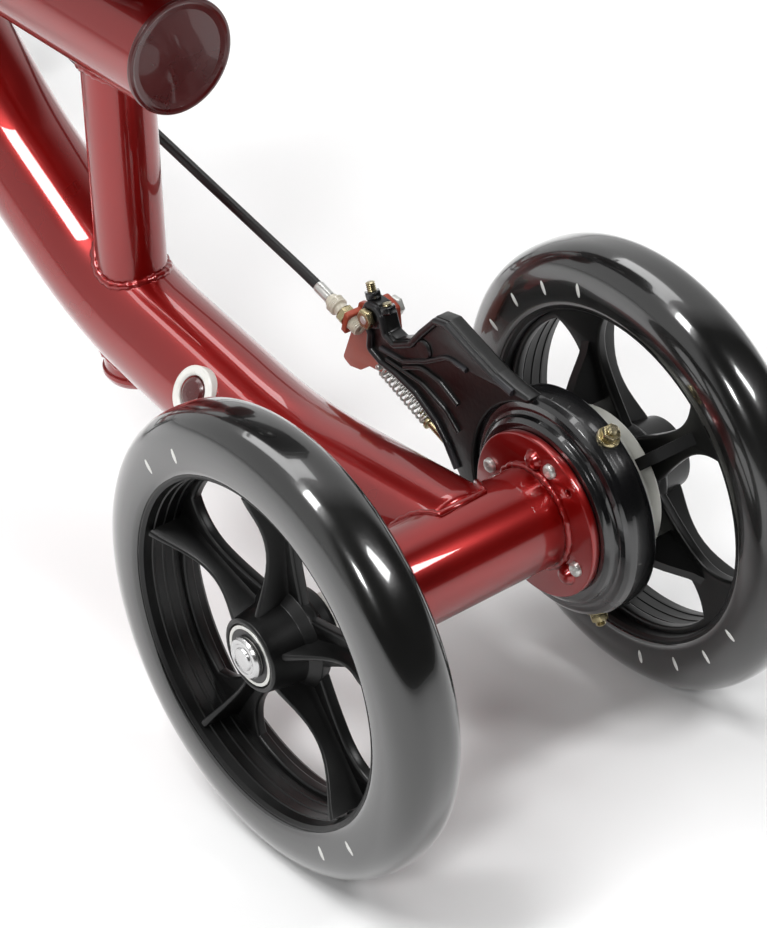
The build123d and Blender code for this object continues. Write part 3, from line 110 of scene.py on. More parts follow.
def material(name, dark, light, rough, metallic=0.0, coat=0.0, coat_rough=0.03, patch=14.0,
             grain=900.0, bump=0.02, grain_size=0.0002, round_edges=0.0, sheen=0.0,
             wear=None, specular=0.5):
    """A procedural finish: patchy colour and gloss, fine surface relief and edge wear."""
    made = bpy.data.materials.new(name)
    made.use_nodes = True
    tree = made.node_tree
    link = tree.links.new
    shader = tree.nodes["Principled BSDF"]
    shader.inputs["Metallic"].default_value = metallic
    shader.inputs["Coat Weight"].default_value = coat
    shader.inputs["Coat Roughness"].default_value = coat_rough
    shader.inputs["Sheen Weight"].default_value = sheen
    shader.inputs["Specular IOR Level"].default_value = specular
    place = node(tree, "ShaderNodeTexCoord")
    broad = node(tree, "ShaderNodeTexNoise", scale=patch, detail=4.0, roughness=0.6)
    link(place.outputs["Object"], broad.inputs["Vector"])
    colour = node(tree, "ShaderNodeMix", data_type="RGBA")
    colour_in = [s for s in colour.inputs if s.type == "RGBA"]
    colour_in[0].default_value = dark
    colour_in[1].default_value = light
    link(broad.outputs["Fac"], colour.inputs["Factor"])
    colour_out = next(s for s in colour.outputs if s.type == "RGBA")
    if wear is not None:
        shape = node(tree, "ShaderNodeNewGeometry")
        edge = node(tree, "ShaderNodeMapRange", from_min=0.53, from_max=0.62)
        link(shape.outputs["Pointiness"], edge.inputs["Value"])
        worn = node(tree, "ShaderNodeMix", data_type="RGBA")
        worn_in = [s for s in worn.inputs if s.type == "RGBA"]
        worn_in[1].default_value = wear
        link(colour_out, worn_in[0])
        link(edge.outputs["Result"], worn.inputs["Factor"])
        colour_out = next(s for s in worn.outputs if s.type == "RGBA")
    link(colour_out, shader.inputs["Base Color"])
    fine = node(tree, "ShaderNodeTexNoise", scale=grain, detail=3.0)
    link(place.outputs["Object"], fine.inputs["Vector"])
    gloss = node(tree, "ShaderNodeMapRange", from_min=0.3, from_max=0.7, to_min=rough[0],
                 to_max=rough[1])
    link(broad.outputs["Fac"], gloss.inputs["Value"])
    link(gloss.outputs["Result"], shader.inputs["Roughness"])
    relief = node(tree, "ShaderNodeBump", strength=bump, distance=grain_size)
    link(fine.outputs["Fac"], relief.inputs["Height"])
    if round_edges:
        soft = node(tree, "ShaderNodeBevel", samples=4, radius=round_edges)
        link(soft.outputs["Normal"], relief.inputs["Normal"])
    link(relief.outputs["Normal"], shader.inputs["Normal"])
    return made


red_paint = material("frame_red", linear(122, 4, 3), linear(150, 9, 6), (0.26, 0.34),
                     metallic=0.6, coat=1.0, coat_rough=0.02, patch=9.0, grain=2600.0,
                     bump=0.05, grain_size=0.0001, round_edges=0.0008)
tyre_black = material("tyre_black", linear(13, 13, 13), linear(26, 26, 25), (0.16, 0.26),
                      coat=1.0, coat_rough=0.05, patch=22.0, grain=520.0, bump=0.06)
wheel_black = material("wheel_black", linear(4, 4, 4), linear(9, 9, 9), (0.3, 0.42),
                       specular=0.35, patch=30.0, grain=1500.0, bump=0.08)
black_paint = material("black_paint", linear(8, 8, 9), linear(15, 15, 16), (0.16, 0.28),
                       coat=0.9, patch=40.0, grain=700.0, bump=0.10, round_edges=0.0007,
                       wear=linear(40, 40, 42))
casting = material("arm_casting", linear(5, 5, 5), linear(11, 11, 11), (0.3, 0.44),
                   coat=0.3, coat_rough=0.14, specular=0.3, patch=60.0, grain=420.0, bump=0.3,
                   grain_size=0.0004, wear=linear(56, 56, 60))
zinc = material("zinc", linear(186, 186, 182), linear(222, 222, 218), (0.26, 0.42),
                metallic=0.75, patch=70.0, grain=1100.0, bump=0.08, round_edges=0.0004,
                wear=linear(235, 235, 232))
drum_zinc = material("drum_zinc", linear(190, 190, 182), linear(214, 214, 206), (0.3, 0.42),
                     metallic=0.3, patch=60.0, grain=900.0, bump=0.08)
brass_zinc = material("brass_zinc", linear(150, 138, 104), linear(190, 178, 142), (0.2, 0.36),
                      metallic=1.0, patch=160.0, grain=900.0, bump=0.10,
                      wear=linear(226, 216, 190))
copper = material("copper", linear(142, 46, 24), linear(176, 70, 40), (0.36, 0.5),
                  metallic=0.2, coat=0.1, patch=90.0, grain=800.0, bump=0.16,
                  wear=linear(190, 110, 80))
silver = material("silver", linear(176, 176, 176), linear(212, 212, 212), (0.2, 0.32),
                  metallic=1.0, patch=26.0, grain=1800.0, bump=0.06, round_edges=0.0005)
black_plastic = material("black_plastic", linear(14, 14, 15), linear(26, 26, 27), (0.34, 0.5),
                         patch=60.0, grain=1400.0, bump=0.22, round_edges=0.0006,
                         wear=linear(50, 50, 52))
white_plastic = material("white_plastic", linear(214, 212, 206), linear(236, 235, 230),
                         (0.24, 0.34), patch=80.0, grain=900.0, bump=0.06)
cream = material("cream_plastic", linear(198, 190, 170), linear(226, 220, 204), (0.26, 0.4),
                 coat=0.4, patch=130.0, grain=900.0, bump=0.08)
red_plastic = material("red_plastic", linear(64, 4, 5), linear(86, 7, 7), (0.24, 0.34),
                       coat=0.5, patch=50.0, grain=900.0, bump=0.06)
rubber = material("rubber_black", linear(12, 12, 12), linear(24, 24, 24), (0.55, 0.74),
                  patch=90.0, grain=1600.0, bump=0.4, grain_size=0.0003,
                  wear=linear(44, 44, 44))
lining = material("lining", linear(52, 46, 38), linear(74, 66, 56), (0.7, 0.85), patch=200.0,
                  grain=900.0, bump=0.5)
# White for the tyre's sidewall nubs: a painted highlight standing in for lamp reflections on the
# sidewall.
painted_highlight_white = material("tyre_painted_highlight", linear(176, 176, 172), linear(226, 226, 222), (0.2, 0.4),
                      coat=0.5, patch=200.0, grain=600.0, bump=0.1)


def vinyl(name):
    """Upholstery vinyl: pebbled grain from cells, soft sheen and lighter worn creases."""
    made = material(name, linear(17, 17, 19), linear(30, 30, 33), (0.4, 0.56), coat=0.12,
                    coat_rough=0.35, patch=18.0, grain=1400.0, bump=0.1, sheen=0.15,
                    wear=linear(48, 48, 52))
    tree = made.node_tree
    shader = tree.nodes["Principled BSDF"]
    place = next(n for n in tree.nodes if n.type == "TEX_COORD")
    pebble = node(tree, "ShaderNodeTexVoronoi", scale=620.0, feature="F1")
    tree.links.new(place.outputs["Object"], pebble.inputs["Vector"])
    grain = node(tree, "ShaderNodeBump", strength=0.45, distance=0.0005)
    before = next(n for n in tree.nodes if n.type == "BUMP")
    tree.links.new(pebble.outputs["Distance"], grain.inputs["Height"])
    tree.links.new(before.outputs["Normal"], grain.inputs["Normal"])
    tree.links.new(grain.outputs["Normal"], shader.inputs["Normal"])
    return made


pad_vinyl = vinyl("pad_vinyl")

finishes = {
    "frame_red": red_paint, "tyre_black": tyre_black, "wheel_black": wheel_black,
    "black_paint": black_paint, "zinc": zinc, "brass_zinc": brass_zinc, "copper": copper,
    "silver": silver, "black_plastic": black_plastic, "white_plastic": white_plastic,
    "red_plastic": red_plastic, "rubber_black": rubber, "pad_vinyl": pad_vinyl,
    "lining": lining,
}
for entry in frame["record"]["subparts"]:
    mesh = nodes[entry["node"]].data
    mesh.materials.clear()
    mesh.materials.append(finishes[entry["material_slot"]])


# --- Mesh helpers --------------------------------------------------------------------

MM = 0.001


def frame_at(origin, x_dir, z_dir):
    """A matrix from local millimetres to metres: origin in mm, then the local X and Z."""
    x_dir = Vector(x_dir).normalized()
    z_dir = Vector(z_dir).normalized()
    y_dir = z_dir.cross(x_dir)
    turned = Matrix((x_dir, y_dir, z_dir)).transposed().to_4x4()
    return Matrix.Translation(Vector(origin) * MM) @ turned @ Matrix.Scale(MM, 4)


def beside(x, y, z, side=1):
    """Local X forward, local Y up and local Z outward to a side, mirrored on the left."""
    turned = Matrix(((0, 0, side), (1, 0, 0), (0, 1, 0))).to_4x4()
    return Matrix.Translation(Vector((x, y, z)) * MM) @ turned @ Matrix.Scale(MM, 4)


def build(name, bm, place, finish, smooth_below=35.0):
    """Places a bmesh, shades it and links it as an object."""
    bmesh.ops.remove_doubles(bm, verts=bm.verts, dist=1e-4)
    bm.transform(place)
    bmesh.ops.recalc_face_normals(bm, faces=bm.faces)
    limit = radians(smooth_below)
    for face in bm.faces:
        face.smooth = True
    for edge in bm.edges:
        if len(edge.link_faces) == 2:
            edge.smooth = edge.calc_face_angle(0.0) < limit
    mesh = bpy.data.meshes.new(name)
    bm.to_mesh(mesh)
    bm.free()
    mesh.materials.append(finish)
    made = bpy.data.objects.new(name, mesh)
    scene.collection.objects.link(made)
    return made


def rounded(points, radii, closed=False, steps=4):
    """A 2-D outline with its corners rounded by arcs. A radius of 0 keeps a corner."""
    count = len(points)
    if isinstance(radii, (int, float)):
        radii = [radii] * count
    out = []
    for i, point in enumerate(points):
        here = Vector(point)
        inside = closed or 0 < i < count - 1
        if not inside or radii[i] <= 0:
            out.append(tuple(here))
            continue
        back = Vector(points[i - 1]) - here
        on = Vector(points[(i + 1) % count]) - here
        turn = pi - back.angle(on)
        if turn < 0.02:
            out.append(tuple(here))
            continue
        cut = min(radii[i] * tan(turn / 2), 0.49 * back.length, 0.49 * on.length)
        first = here + back.normalized() * cut
        last = here + on.normalized() * cut
        for k in range(steps + 1):
            t = k / steps
            out.append(tuple(first * (1 - t) ** 2 + here * 2 * t * (1 - t) + last * t * t))
    return out


def lathe(bm, profile, steps=96, closed=True):
    """Revolves (along, radius) points about local Z. A radius of 0 closes on the axis."""
    rings = []
    for along, radius in profile:
        if radius < 1e-6:
            rings.append([bm.verts.new((0, 0, along))])
        else:
            rings.append([
                bm.verts.new((radius * cos(2 * pi * k / steps), radius * sin(2 * pi * k / steps),
                              along))
                for k in range(steps)
            ])
    pairs = list(zip(rings, rings[1:]))
    if closed:
        pairs.append((rings[-1], rings[0]))
    for one, two in pairs:
        if len(one) == 1 and len(two) == 1:
            continue
        for k in range(steps):
            m = (k + 1) % steps
            corners = [one[k % len(one)], one[m % len(one)], two[m % len(two)], two[k % len(two)]]
            face = []
            for corner in corners:
                if corner not in face:
                    face.append(corner)
            bm.faces.new(face)
    return bm


def turned(name, profile, place, finish, steps=96, closed=True, radii=0.4):
    """A turned piece, its profile's corners rounded."""
    return build(name, lathe(bmesh.new(), rounded(profile, radii, closed), steps, closed), place,
                 finish)


def plate(name, outlines, depth, edge, place, finish, steps=2):
    """A flat piece cut to outlines, the later ones holes, with rounded edges."""
    line = bpy.data.curves.new(name, "CURVE")
    line.dimensions = "2D"
    line.fill_mode = "BOTH"
    line.extrude = depth / 2 - edge
    line.bevel_depth = edge
    line.bevel_resolution = steps
    line.offset = -edge
    for outline in outlines:
        spline = line.splines.new("POLY")
        spline.points.add(len(outline) - 1)
        for point, (x, y) in zip(spline.points, outline):
            point.co = (x, y, 0, 1)
        spline.use_cyclic_u = True
    carrier = bpy.data.objects.new(name, line)
    scene.collection.objects.link(carrier)
    bpy.context.view_layer.update()
    flat = bpy.data.meshes.new_from_object(carrier)
    bpy.data.objects.remove(carrier)
    bpy.data.curves.remove(line)
    bm = bmesh.new()
    bm.from_mesh(flat)
    bpy.data.meshes.remove(flat)
    return build(name, bm, place, finish)


def circle(radius, count=48, at=(0, 0)):
    """A circle's outline."""
    return [(at[0] + radius * cos(2 * pi * k / count), at[1] + radius * sin(2 * pi * k / count))
            for k in range(count)]


def hexagon(across_flats):
    """A nut's outline."""
    return circle(across_flats / 2 / cos(pi / 6), 6)


def path_frames(points):
    """Positions and twist-free side directions along a polyline of vectors."""
    points = [Vector(p) for p in points]
    tangents = []
    for i in range(len(points)):
        before = points[max(i - 1, 0)]
        after = points[min(i + 1, len(points) - 1)]
        tangents.append((after - before).normalized())
    side = tangents[0].orthogonal().normalized()
    sides = [side]
    for one, two in zip(tangents, tangents[1:]):
        side = one.rotation_difference(two) @ side
        side = (side - two * side.dot(two)).normalized()
        sides.append(side)
    return points, tangents, sides


def sweep(bm, points, radius, steps=24, cap=True, ripple=None):
    """A round bar along points in local space. ripple(i, k) changes the radius."""
    points, tangents, sides = path_frames(points)
    rings = []
    for i, (here, along, side) in enumerate(zip(points, tangents, sides)):
        other = along.cross(side)
        ring = []
        for k in range(steps):
            angle = 2 * pi * k / steps
            reach = radius if ripple is None else radius * ripple(i, k)
            ring.append(bm.verts.new(here + (side * cos(angle) + other * sin(angle)) * reach))
        rings.append(ring)
    for one, two in zip(rings, rings[1:]):
        for k in range(steps):
            bm.faces.new((one[k], one[(k + 1) % steps], two[(k + 1) % steps], two[k]))
    if cap:
        bm.faces.new(rings[0])
        bm.faces.new(rings[-1])
    return bm


def join(name, pieces, stands_for=(), body=None):
    """Joins pieces into one object, which replaces CAD nodes and rides on their body."""
    target = pieces[0]
    if len(pieces) > 1:
        finishes_used = []
        bm = bmesh.new()
        for piece in pieces:
            first = len(bm.faces)
            slots = []
            for used in piece.data.materials:
                if used not in finishes_used:
                    finishes_used.append(used)
                slots.append(finishes_used.index(used))
            bm.from_mesh(piece.data)
            bm.faces.ensure_lookup_table()
            for face in bm.faces[first:]:
                face.material_index = slots[face.material_index]
        mesh = bpy.data.meshes.new(name)
        bm.to_mesh(mesh)
        bm.free()
        for used in finishes_used:
            mesh.materials.append(used)
        for piece in pieces:
            bpy.data.objects.remove(piece)
        target = bpy.data.objects.new(name, mesh)
        scene.collection.objects.link(target)
    target.name = name
    if body:
        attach(target, body)
    if stands_for:
        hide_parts(*stands_for)
    return target


identity = Matrix.Scale(MM, 4)

# --- Wheels --------------------------------------------------------------------------

SPOKES = 5
WEB_LOW = -9.0
WEB_HIGH = -4.0
HIGHLIGHT_RADIUS = 84.8
# A tyre's white dashes stand in two opposite groups, in degrees round the wheel: raised nubs whose
# white colour is a painted highlight.
HIGHLIGHT_MIDDLE = 52.0
HIGHLIGHT_PITCH = 16.0
HIGHLIGHTS_LEFT = 2
HIGHLIGHTS_RIGHT = 4
# A drum wheel's fins, as radius and distance outward from the wheel's middle plane.
FIN_OUTLINE = ((33.0, -8.0), (33.0, -27.5), (38.0, -27.0), (46.0, -20.0), (54.0, -12.0),
               (60.0, -8.0))


def tyre_profile():
    """Half the section goes bead, sidewall and crown. The rest mirrors it."""
    half = [(RIM_HALF, TYRE_BORE), (RIM_HALF + 0.2, TYRE_BORE - 1.5), (TYRE_HALF - 0.7, 77.2),
            (TYRE_HALF - 0.1, 79.2)]
    for k in range(19):
        angle = radians(5.0 * k)
        half.append((TYRE_HALF * cos(angle) ** 0.72 if k < 18 else 0.0,
                     84.0 + (TYRE_OUTER - 84.0) * sin(angle) ** 0.86))
    return [(-a, r) for a, r in half] + [(a, r) for a, r in reversed(half[:-1])]


def opening(start):
    """One rounded opening between two spokes, as an outline about the hub."""
    outline = []
    inner, outer = HUB_RADIUS + 4.5, BARREL - 4.0
    gap = pi / SPOKES

    def half_width(radius):
        """The half angle of the opening at a radius: spokes flare at the hub and the rim."""
        t = (radius - inner) / (outer - inner)
        spoke = 5.6 + 5.0 * (1 - t) ** 3 + 10.5 * max(0.0, (t - 0.45) / 0.55) ** 2.6
        return max(gap - spoke / radius, 0.0)

    near = next(r for r in [inner + 0.1 * k for k in range(400)] if half_width(r) > 0.03)
    radii = [near + (outer - near) * (0.5 - 0.5 * cos(pi * k / 26)) for k in range(27)]
    for radius in radii:
        outline.append((radius, -half_width(radius)))
    end = half_width(outer)
    outline += [(outer + 1.2 * (1 - (k / 6) ** 2), end * k / 6) for k in range(-5, 6)]
    for radius in reversed(radii):
        outline.append((radius, half_width(radius)))
    middle = start + gap
    return [(r * cos(middle + a), r * sin(middle + a)) for r, a in outline]


def make_wheel(corner, x, y, side, start, highlight_count, finned=False):
    """A five-spoke moulded wheel and its solid tyre, in place of the plain CAD ones."""
    place = beside(x, y, AXLE_Z, side)
    body = "wheel_" + corner
    rubber_ring = build("tyre", lathe(bmesh.new(), tyre_profile(), 144), place, tyre_black)
    # Raised nubs on both sidewalls, coloured white as a painted highlight in place of lamp
    # reflections.
    highlight_nubs = bmesh.new()
    for face_side in (-1, 1):
        for k in range(2 * highlight_count):
            group, place_in_group = divmod(k, highlight_count)
            angle = HIGHLIGHT_MIDDLE + 180 * group + HIGHLIGHT_PITCH * (place_in_group - (highlight_count - 1) / 2)
            turn = Matrix.Rotation(radians(angle), 4, "Z")
            at = turn @ Matrix.Translation((HIGHLIGHT_RADIUS, 0, face_side * (TYRE_HALF - 0.35)))
            made = bmesh.ops.create_uvsphere(highlight_nubs, u_segments=10, v_segments=6, radius=1.0)
            bmesh.ops.transform(highlight_nubs, verts=made["verts"],
                                matrix=at @ Matrix.Diagonal((3.6, 1.3, 0.7, 1)))
    highlight_ring = build("highlight_nubs", highlight_nubs, place, painted_highlight_white)
    join("solid_tyre_" + corner, [rubber_ring, highlight_ring], ["tyre_" + corner], body)
    parts = []
    rim = [(-RIM_HALF, TYRE_BORE - 0.05), (-RIM_HALF, BARREL + 1.2), (-RIM_HALF + 1.4, BARREL),
           (-4.0, BARREL - 0.6)]
    for k in range(3):
        rim += [(-2.0 + 5.0 * k, BARREL - 0.5), (-1.6 + 5.0 * k, BARREL - 0.9),
                (-0.8 + 5.0 * k, BARREL - 0.9), (-0.4 + 5.0 * k, BARREL - 0.4)]
    rim += [(RIM_HALF - 1.2, BARREL + 0.2), (RIM_HALF, BARREL + 1.6), (RIM_HALF, TYRE_BORE - 0.05)]
    parts.append(build("barrel", lathe(bmesh.new(), rim, 128), place, wheel_black))
    web = [circle(BARREL + 1.0, 160)] + [opening(start + 2 * pi * k / SPOKES)
                                         for k in range(SPOKES)] + [circle(HUB_RADIUS - 2, 64)]
    web_place = place @ Matrix.Translation((0, 0, (WEB_LOW + WEB_HIGH) / 2))
    parts.append(plate("web", web, WEB_HIGH - WEB_LOW, 1.3, web_place, wheel_black, 3))
    hub = [(-HUB_INNER, 14.0), (-HUB_INNER, HUB_RADIUS - 0.5), (-HUB_INNER + 2, HUB_RADIUS),
           (WEB_LOW - 2, HUB_RADIUS + 0.4), (WEB_LOW, HUB_RADIUS + 4), (WEB_HIGH, HUB_RADIUS + 5),
           (WEB_HIGH + 4, HUB_RADIUS + 1.0), (HUB_OUTER - 4.0, HUB_RADIUS - 1.0),
           (HUB_OUTER - 0.6, HUB_RADIUS - 1.5), (HUB_OUTER, HUB_RADIUS - 2.4),
           (HUB_OUTER, 14.0), (HUB_OUTER - 1.2, 13.6), (HUB_OUTER - 1.6, 13.2),
           (-HUB_INNER + 1.6, 13.2)]
    parts.append(turned("hub", hub, place, wheel_black, 72, radii=0.8))
    ribs = bmesh.new()
    for k in range(SPOKES):
        angle = start + 2 * pi * k / SPOKES
        turn = Matrix.Rotation(angle, 4, "Z")
        crest = []
        for m in range(15):
            t = m / 14
            radius = HUB_RADIUS - 3 + (BARREL + 1.5 - HUB_RADIUS) * t
            height = 11.5 - 8.5 * sin(pi * t) ** 1.2 + 1.0 * t
            crest.append((radius, height, 1.3 + 0.6 * abs(2 * t - 1) ** 3))
        rows = []
        for radius, height, half in crest:
            section = [(-half - 1.6, WEB_HIGH - 1), (-half, WEB_HIGH + 2),
                       (-half + 0.3, height - 0.8), (-half + 1.0, height), (half - 1.0, height),
                       (half - 0.3, height - 0.8), (half, WEB_HIGH + 2),
                       (half + 1.6, WEB_HIGH - 1)]
            rows.append([ribs.verts.new(turn @ Vector((radius, a, b))) for a, b in section])
        for one, two in zip(rows, rows[1:]):
            for m in range(8):
                n = (m + 1) % 8
                ribs.faces.new((one[m], one[n], two[n], two[m]))
        ribs.faces.new(rows[0])
        ribs.faces.new(rows[-1])
        if finned:
            edge = [[ribs.verts.new(turn @ Vector((r, across, z))) for r, z in FIN_OUTLINE]
                    for across in (-2.6, 2.6)]
            ribs.faces.new(edge[0])
            ribs.faces.new(edge[1])
            for m in range(len(FIN_OUTLINE)):
                n = (m + 1) % len(FIN_OUTLINE)
                ribs.faces.new((edge[0][m], edge[0][n], edge[1][n], edge[1][m]))
    parts.append(build("ribs", ribs, place, wheel_black, 50))
    join("spoke_wheel_" + corner, parts, ["wheel_" + corner], body)
    races = []
    for low, high, outward in ((-HUB_INNER + 0.1, -HUB_INNER + 7.9, -1),
                               (HUB_OUTER - 7.9, HUB_OUTER - 0.1, 1)):
        face = high if outward > 0 else low
        back = low if outward > 0 else high
        ring = [(back, 6.1), (back, 13.15), (face, 13.15), (face, 11.6),
                (face - outward * 0.7, 11.3),
                (face - outward * 0.7, 8.6), (face, 8.3), (face, 6.1)]
        races.append(turned("race", ring, place, zinc, 64, radii=0.25))
        seal = [(face - outward * 0.6, 7.2), (face - outward * 0.6, 12.8),
                (face - outward * 0.15, 12.6), (face - outward * 0.15, 7.4)]
        races.append(turned("seal", seal, place, black_plastic, 64, radii=0.15))
    join("ball_races_" + corner, races, ["bearings_" + corner], body)


START_LEFT = radians(16.0)
START_RIGHT = radians(66.0)
make_wheel("rear_left", -94.65, REAR_Y, -1, START_LEFT, HIGHLIGHTS_LEFT)
make_wheel("rear_right", 94.65, REAR_Y, 1, START_RIGHT, HIGHLIGHTS_RIGHT, finned=True)
make_wheel("front_left", -160.0, FRONT_Y, -1, START_LEFT, HIGHLIGHTS_LEFT)
make_wheel("front_right", 160.0, FRONT_Y, 1, START_RIGHT, HIGHLIGHTS_RIGHT)

# --- Frame tubes ---------------------------------------------------------------------

# Corners of the spine's axis, ahead of the rear axle and above it, as the CAD has them.
CLIMB = (322.0, 57.3)
HEAD_END = (690.0, 215.0)
climb_slope = tan(radians(40.0))
head_slope = tan(radians(8.0))
crest_y = ((HEAD_END[1] - CLIMB[1] + CLIMB[0] * climb_slope - HEAD_END[0] * head_slope)
           / (climb_slope - head_slope))
crest = (crest_y, CLIMB[1] + (crest_y - CLIMB[0]) * climb_slope)
spine_line = rounded([(0.0, 0.0), (122.0, -11.6), (243.0, 8.6), CLIMB, crest, HEAD_END],
                     [0, 240, 175, 200, 150, 0], steps=14)
spine_axis = [(REAR_Y + a, AXLE_Z + b) for a, b in spine_line]


def spine_at(y):
    """Height and slope of the spine's axis at a place along it."""
    for (y0, z0), (y1, z1) in zip(spine_axis, spine_axis[1:]):
        if y <= y1 or y1 == spine_axis[-1][0]:
            slope = (z1 - z0) / (y1 - y0)
            return z0 + (y - y0) * slope, slope


def spine_edge(x, y, up):
    """Height of the spine's surface above or below a place on the floor plan."""
    z, slope = spine_at(y)
    return z + up * (max(SPINE_RADIUS ** 2 - x * x, 0.0) ** 0.5) * hypot(1.0, slope)


def bead(points, radius=2.1, seed=0.0):
    """A rippled weld bead along a closed run of points."""
    ring = [Vector(p) for p in points]
    ring = ring + ring[:2]
    bm = sweep(bmesh.new(), ring, radius, 10, cap=False,
               ripple=lambda i, k: 1.0 + 0.16 * sin(2.1 * i + seed) + 0.05 * cos(5.3 * i + k))
    return build("bead", bm, identity, red_paint, 80)


def loop(count, place):
    """Points from a function of the angle round a joint."""
    return [place(2 * pi * k / count) for k in range(count)]


spine_points = []
for k, (y, z) in enumerate(spine_axis):
    if k == 0:
        direction = Vector((0, spine_axis[1][0] - y, spine_axis[1][1] - z)).normalized()
        spine_points += [Vector((0, y, z)) + direction * s for s in (0.0, 0.8, 2.0, 3.6, 6.0)]
    else:
        spine_points.append(Vector((0, y, z)))
end_radii = (0.905, 0.95, 0.98, 0.995, 1.0)
spine_bm = sweep(bmesh.new(), spine_points, SPINE_RADIUS, 72,
                 ripple=lambda i, k: end_radii[i] if i < 5 else 1.0)
spine_parts = [build("tube", spine_bm, identity, red_paint, 50)]
for up in (1, -1):
    spine_parts.append(bead(loop(72, lambda a: (
        POST_RADIUS * cos(a), POST_Y + POST_RADIUS * sin(a),
        spine_edge(POST_RADIUS * cos(a), POST_Y + POST_RADIUS * sin(a), up)))))


def axle_joint(a):
    """The coped end of the spine on the axle tube, round the joint."""
    tilt = (a if a < pi else 2 * pi - a) - pi / 2
    rise = AXLE_TUBE_RADIUS * sin(tilt)
    x = (SPINE_RADIUS ** 2 - rise ** 2) ** 0.5 * (1 if a < pi else -1)
    return x, REAR_Y + AXLE_TUBE_RADIUS * max(cos(tilt), 0.04), AXLE_Z + rise


spine_parts.append(bead(loop(96, axle_joint), 1.5, 0.7))


def head_joint(a):
    """The spine's front end on the head tube."""
    x = SPINE_RADIUS * cos(a) * 0.998
    y = FRONT_Y - (28.6 ** 2 - x * x) ** 0.5
    z, slope = spine_at(y)
    return x, y, z + SPINE_RADIUS * sin(a) * hypot(1.0, slope)


spine_parts.append(bead(loop(80, head_joint), 2.2, 1.9))
join("curved_spine", spine_parts, ["main_spine"], "frame")

post_top = TOP_HEIGHT + 25.4 + 26.0
post_ring = [(76.0, POST_RADIUS - 1.2), (76.0, POST_RADIUS), (post_top, POST_RADIUS),
             (post_top, 14.42), (90.0, 14.42), (90.0, 0.0), (76.0, 0.0)]
post_tube = turned("post", post_ring, frame_at((0, POST_Y, 0), (1, 0, 0), (0, 0, 1)), red_paint,
                   64, closed=False, radii=0.5)
foot_cap = turned("foot", [(73.5, 0.0), (73.5, 12.0), (75.0, 15.2), (78.0, POST_RADIUS + 0.9),
                           (80.0, POST_RADIUS + 0.9), (80.0, 0.0)],
                  frame_at((0, POST_Y, 0), (1, 0, 0), (0, 0, 1)), red_paint, 64, closed=False)
join("seat_post_sleeve", [post_tube, foot_cap], ["post_sleeve"], "frame")

TOP_REAR = 184.0
top_low, top_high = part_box("top_tube")
top_bm = bmesh.new()
top_front = []
for k in range(72):
    a = 2 * pi * k / 72
    x, z = 25.4 * cos(a), TOP_HEIGHT + 25.4 * sin(a)
    y = top_low.y * 1000 + 60
    while y < top_high.y * 1000 + 12 and spine_edge(x, y, 1) < z:
        y += 0.5
    top_front.append((x, y, z))
rear_ring = [top_bm.verts.new((x, REAR_Y + TOP_REAR, z)) for x, y, z in top_front]
front_ring = [top_bm.verts.new(p) for p in top_front]
for k in range(72):
    m = (k + 1) % 72
    top_bm.faces.new((rear_ring[k], rear_ring[m], front_ring[m], front_ring[k]))
top_bm.faces.new(rear_ring)
top_bm.faces.new(front_ring)
top_parts = [build("top", top_bm, identity, red_paint, 50), bead(top_front, 1.9, 0.4)]
for up in (1, -1):
    top_parts.append(bead(loop(72, lambda a: (
        POST_RADIUS * cos(a), POST_Y + POST_RADIUS * sin(a),
        TOP_HEIGHT + up * (25.4 ** 2 - (POST_RADIUS * cos(a)) ** 2) ** 0.5)), 2.0, up))
join("level_top_tube", top_parts, ["top_tube"], "frame")

axle_frame = frame_at((0, REAR_Y, AXLE_Z), (0, 1, 0), (1, 0, 0))
tube_ring = [(-52.0, 6.1), (-52.0, AXLE_TUBE_RADIUS), (37.0, AXLE_TUBE_RADIUS), (37.0, 19.0),
             (-46.0, 19.0), (-46.0, 6.1)]
join("rear_cross_tube", [
    turned("cross", tube_ring, axle_frame, red_paint, 96, radii=0.7),
    bead([(36.6, REAR_Y + 22.6 * cos(2 * pi * k / 90), AXLE_Z + 22.6 * sin(2 * pi * k / 90))
          for k in range(90)], 1.7),
], ["rear_axle_tube"], "frame")

WELD_PLACES = ((28.0, 90.6), (28.0, 221.4))
SCREW_PLACES = [(29.6, a) for a in (22.0, 111.0, 205.0, 295.0)]
flange = [circle(37.0, 120), circle(6.1, 40), circle(1.5, 16, (30.8 * cos(radians(134)),
                                                              30.8 * sin(radians(134))))]
flange_parts = [plate("disc", flange, 4.0, 0.8, axle_frame @ Matrix.Translation((0, 0, 39.0)),
                      red_paint)]
for radius, angle in WELD_PLACES:
    at = (radius * cos(radians(angle)), radius * sin(radians(angle)), 37.2)
    dome = [(-3.7, 0.0), (-3.5, 1.6), (-2.7, 3.2), (-1.3, 4.2), (0.0, 4.7), (0.6, 5.0), (0.6, 0.0)]
    flange_parts.append(turned("button", dome, axle_frame @ Matrix.Translation(at), red_paint, 40,
                               closed=False))
join("welded_flange", flange_parts, ["brake_flange"], "frame")

head_ring = [(84.0, 25.1), (84.0, 28.6), (350.0, 28.6), (350.0, 25.1)]
head_parts = [turned("head", head_ring, frame_at((0, FRONT_Y, 0), (1, 0, 0), (0, 0, 1)),
                     red_paint, 96, radii=0.8)]
for side in (-1, 1):
    head_parts.append(bead(loop(60, lambda a: (
        side * (28.6 ** 2 - (16 * cos(a)) ** 2) ** 0.5, FRONT_Y + 16 * cos(a),
        AXLE_Z + 16 * sin(a))), 2.0, side))
join("head_tube_body", head_parts, ["head_tube"], "frame")

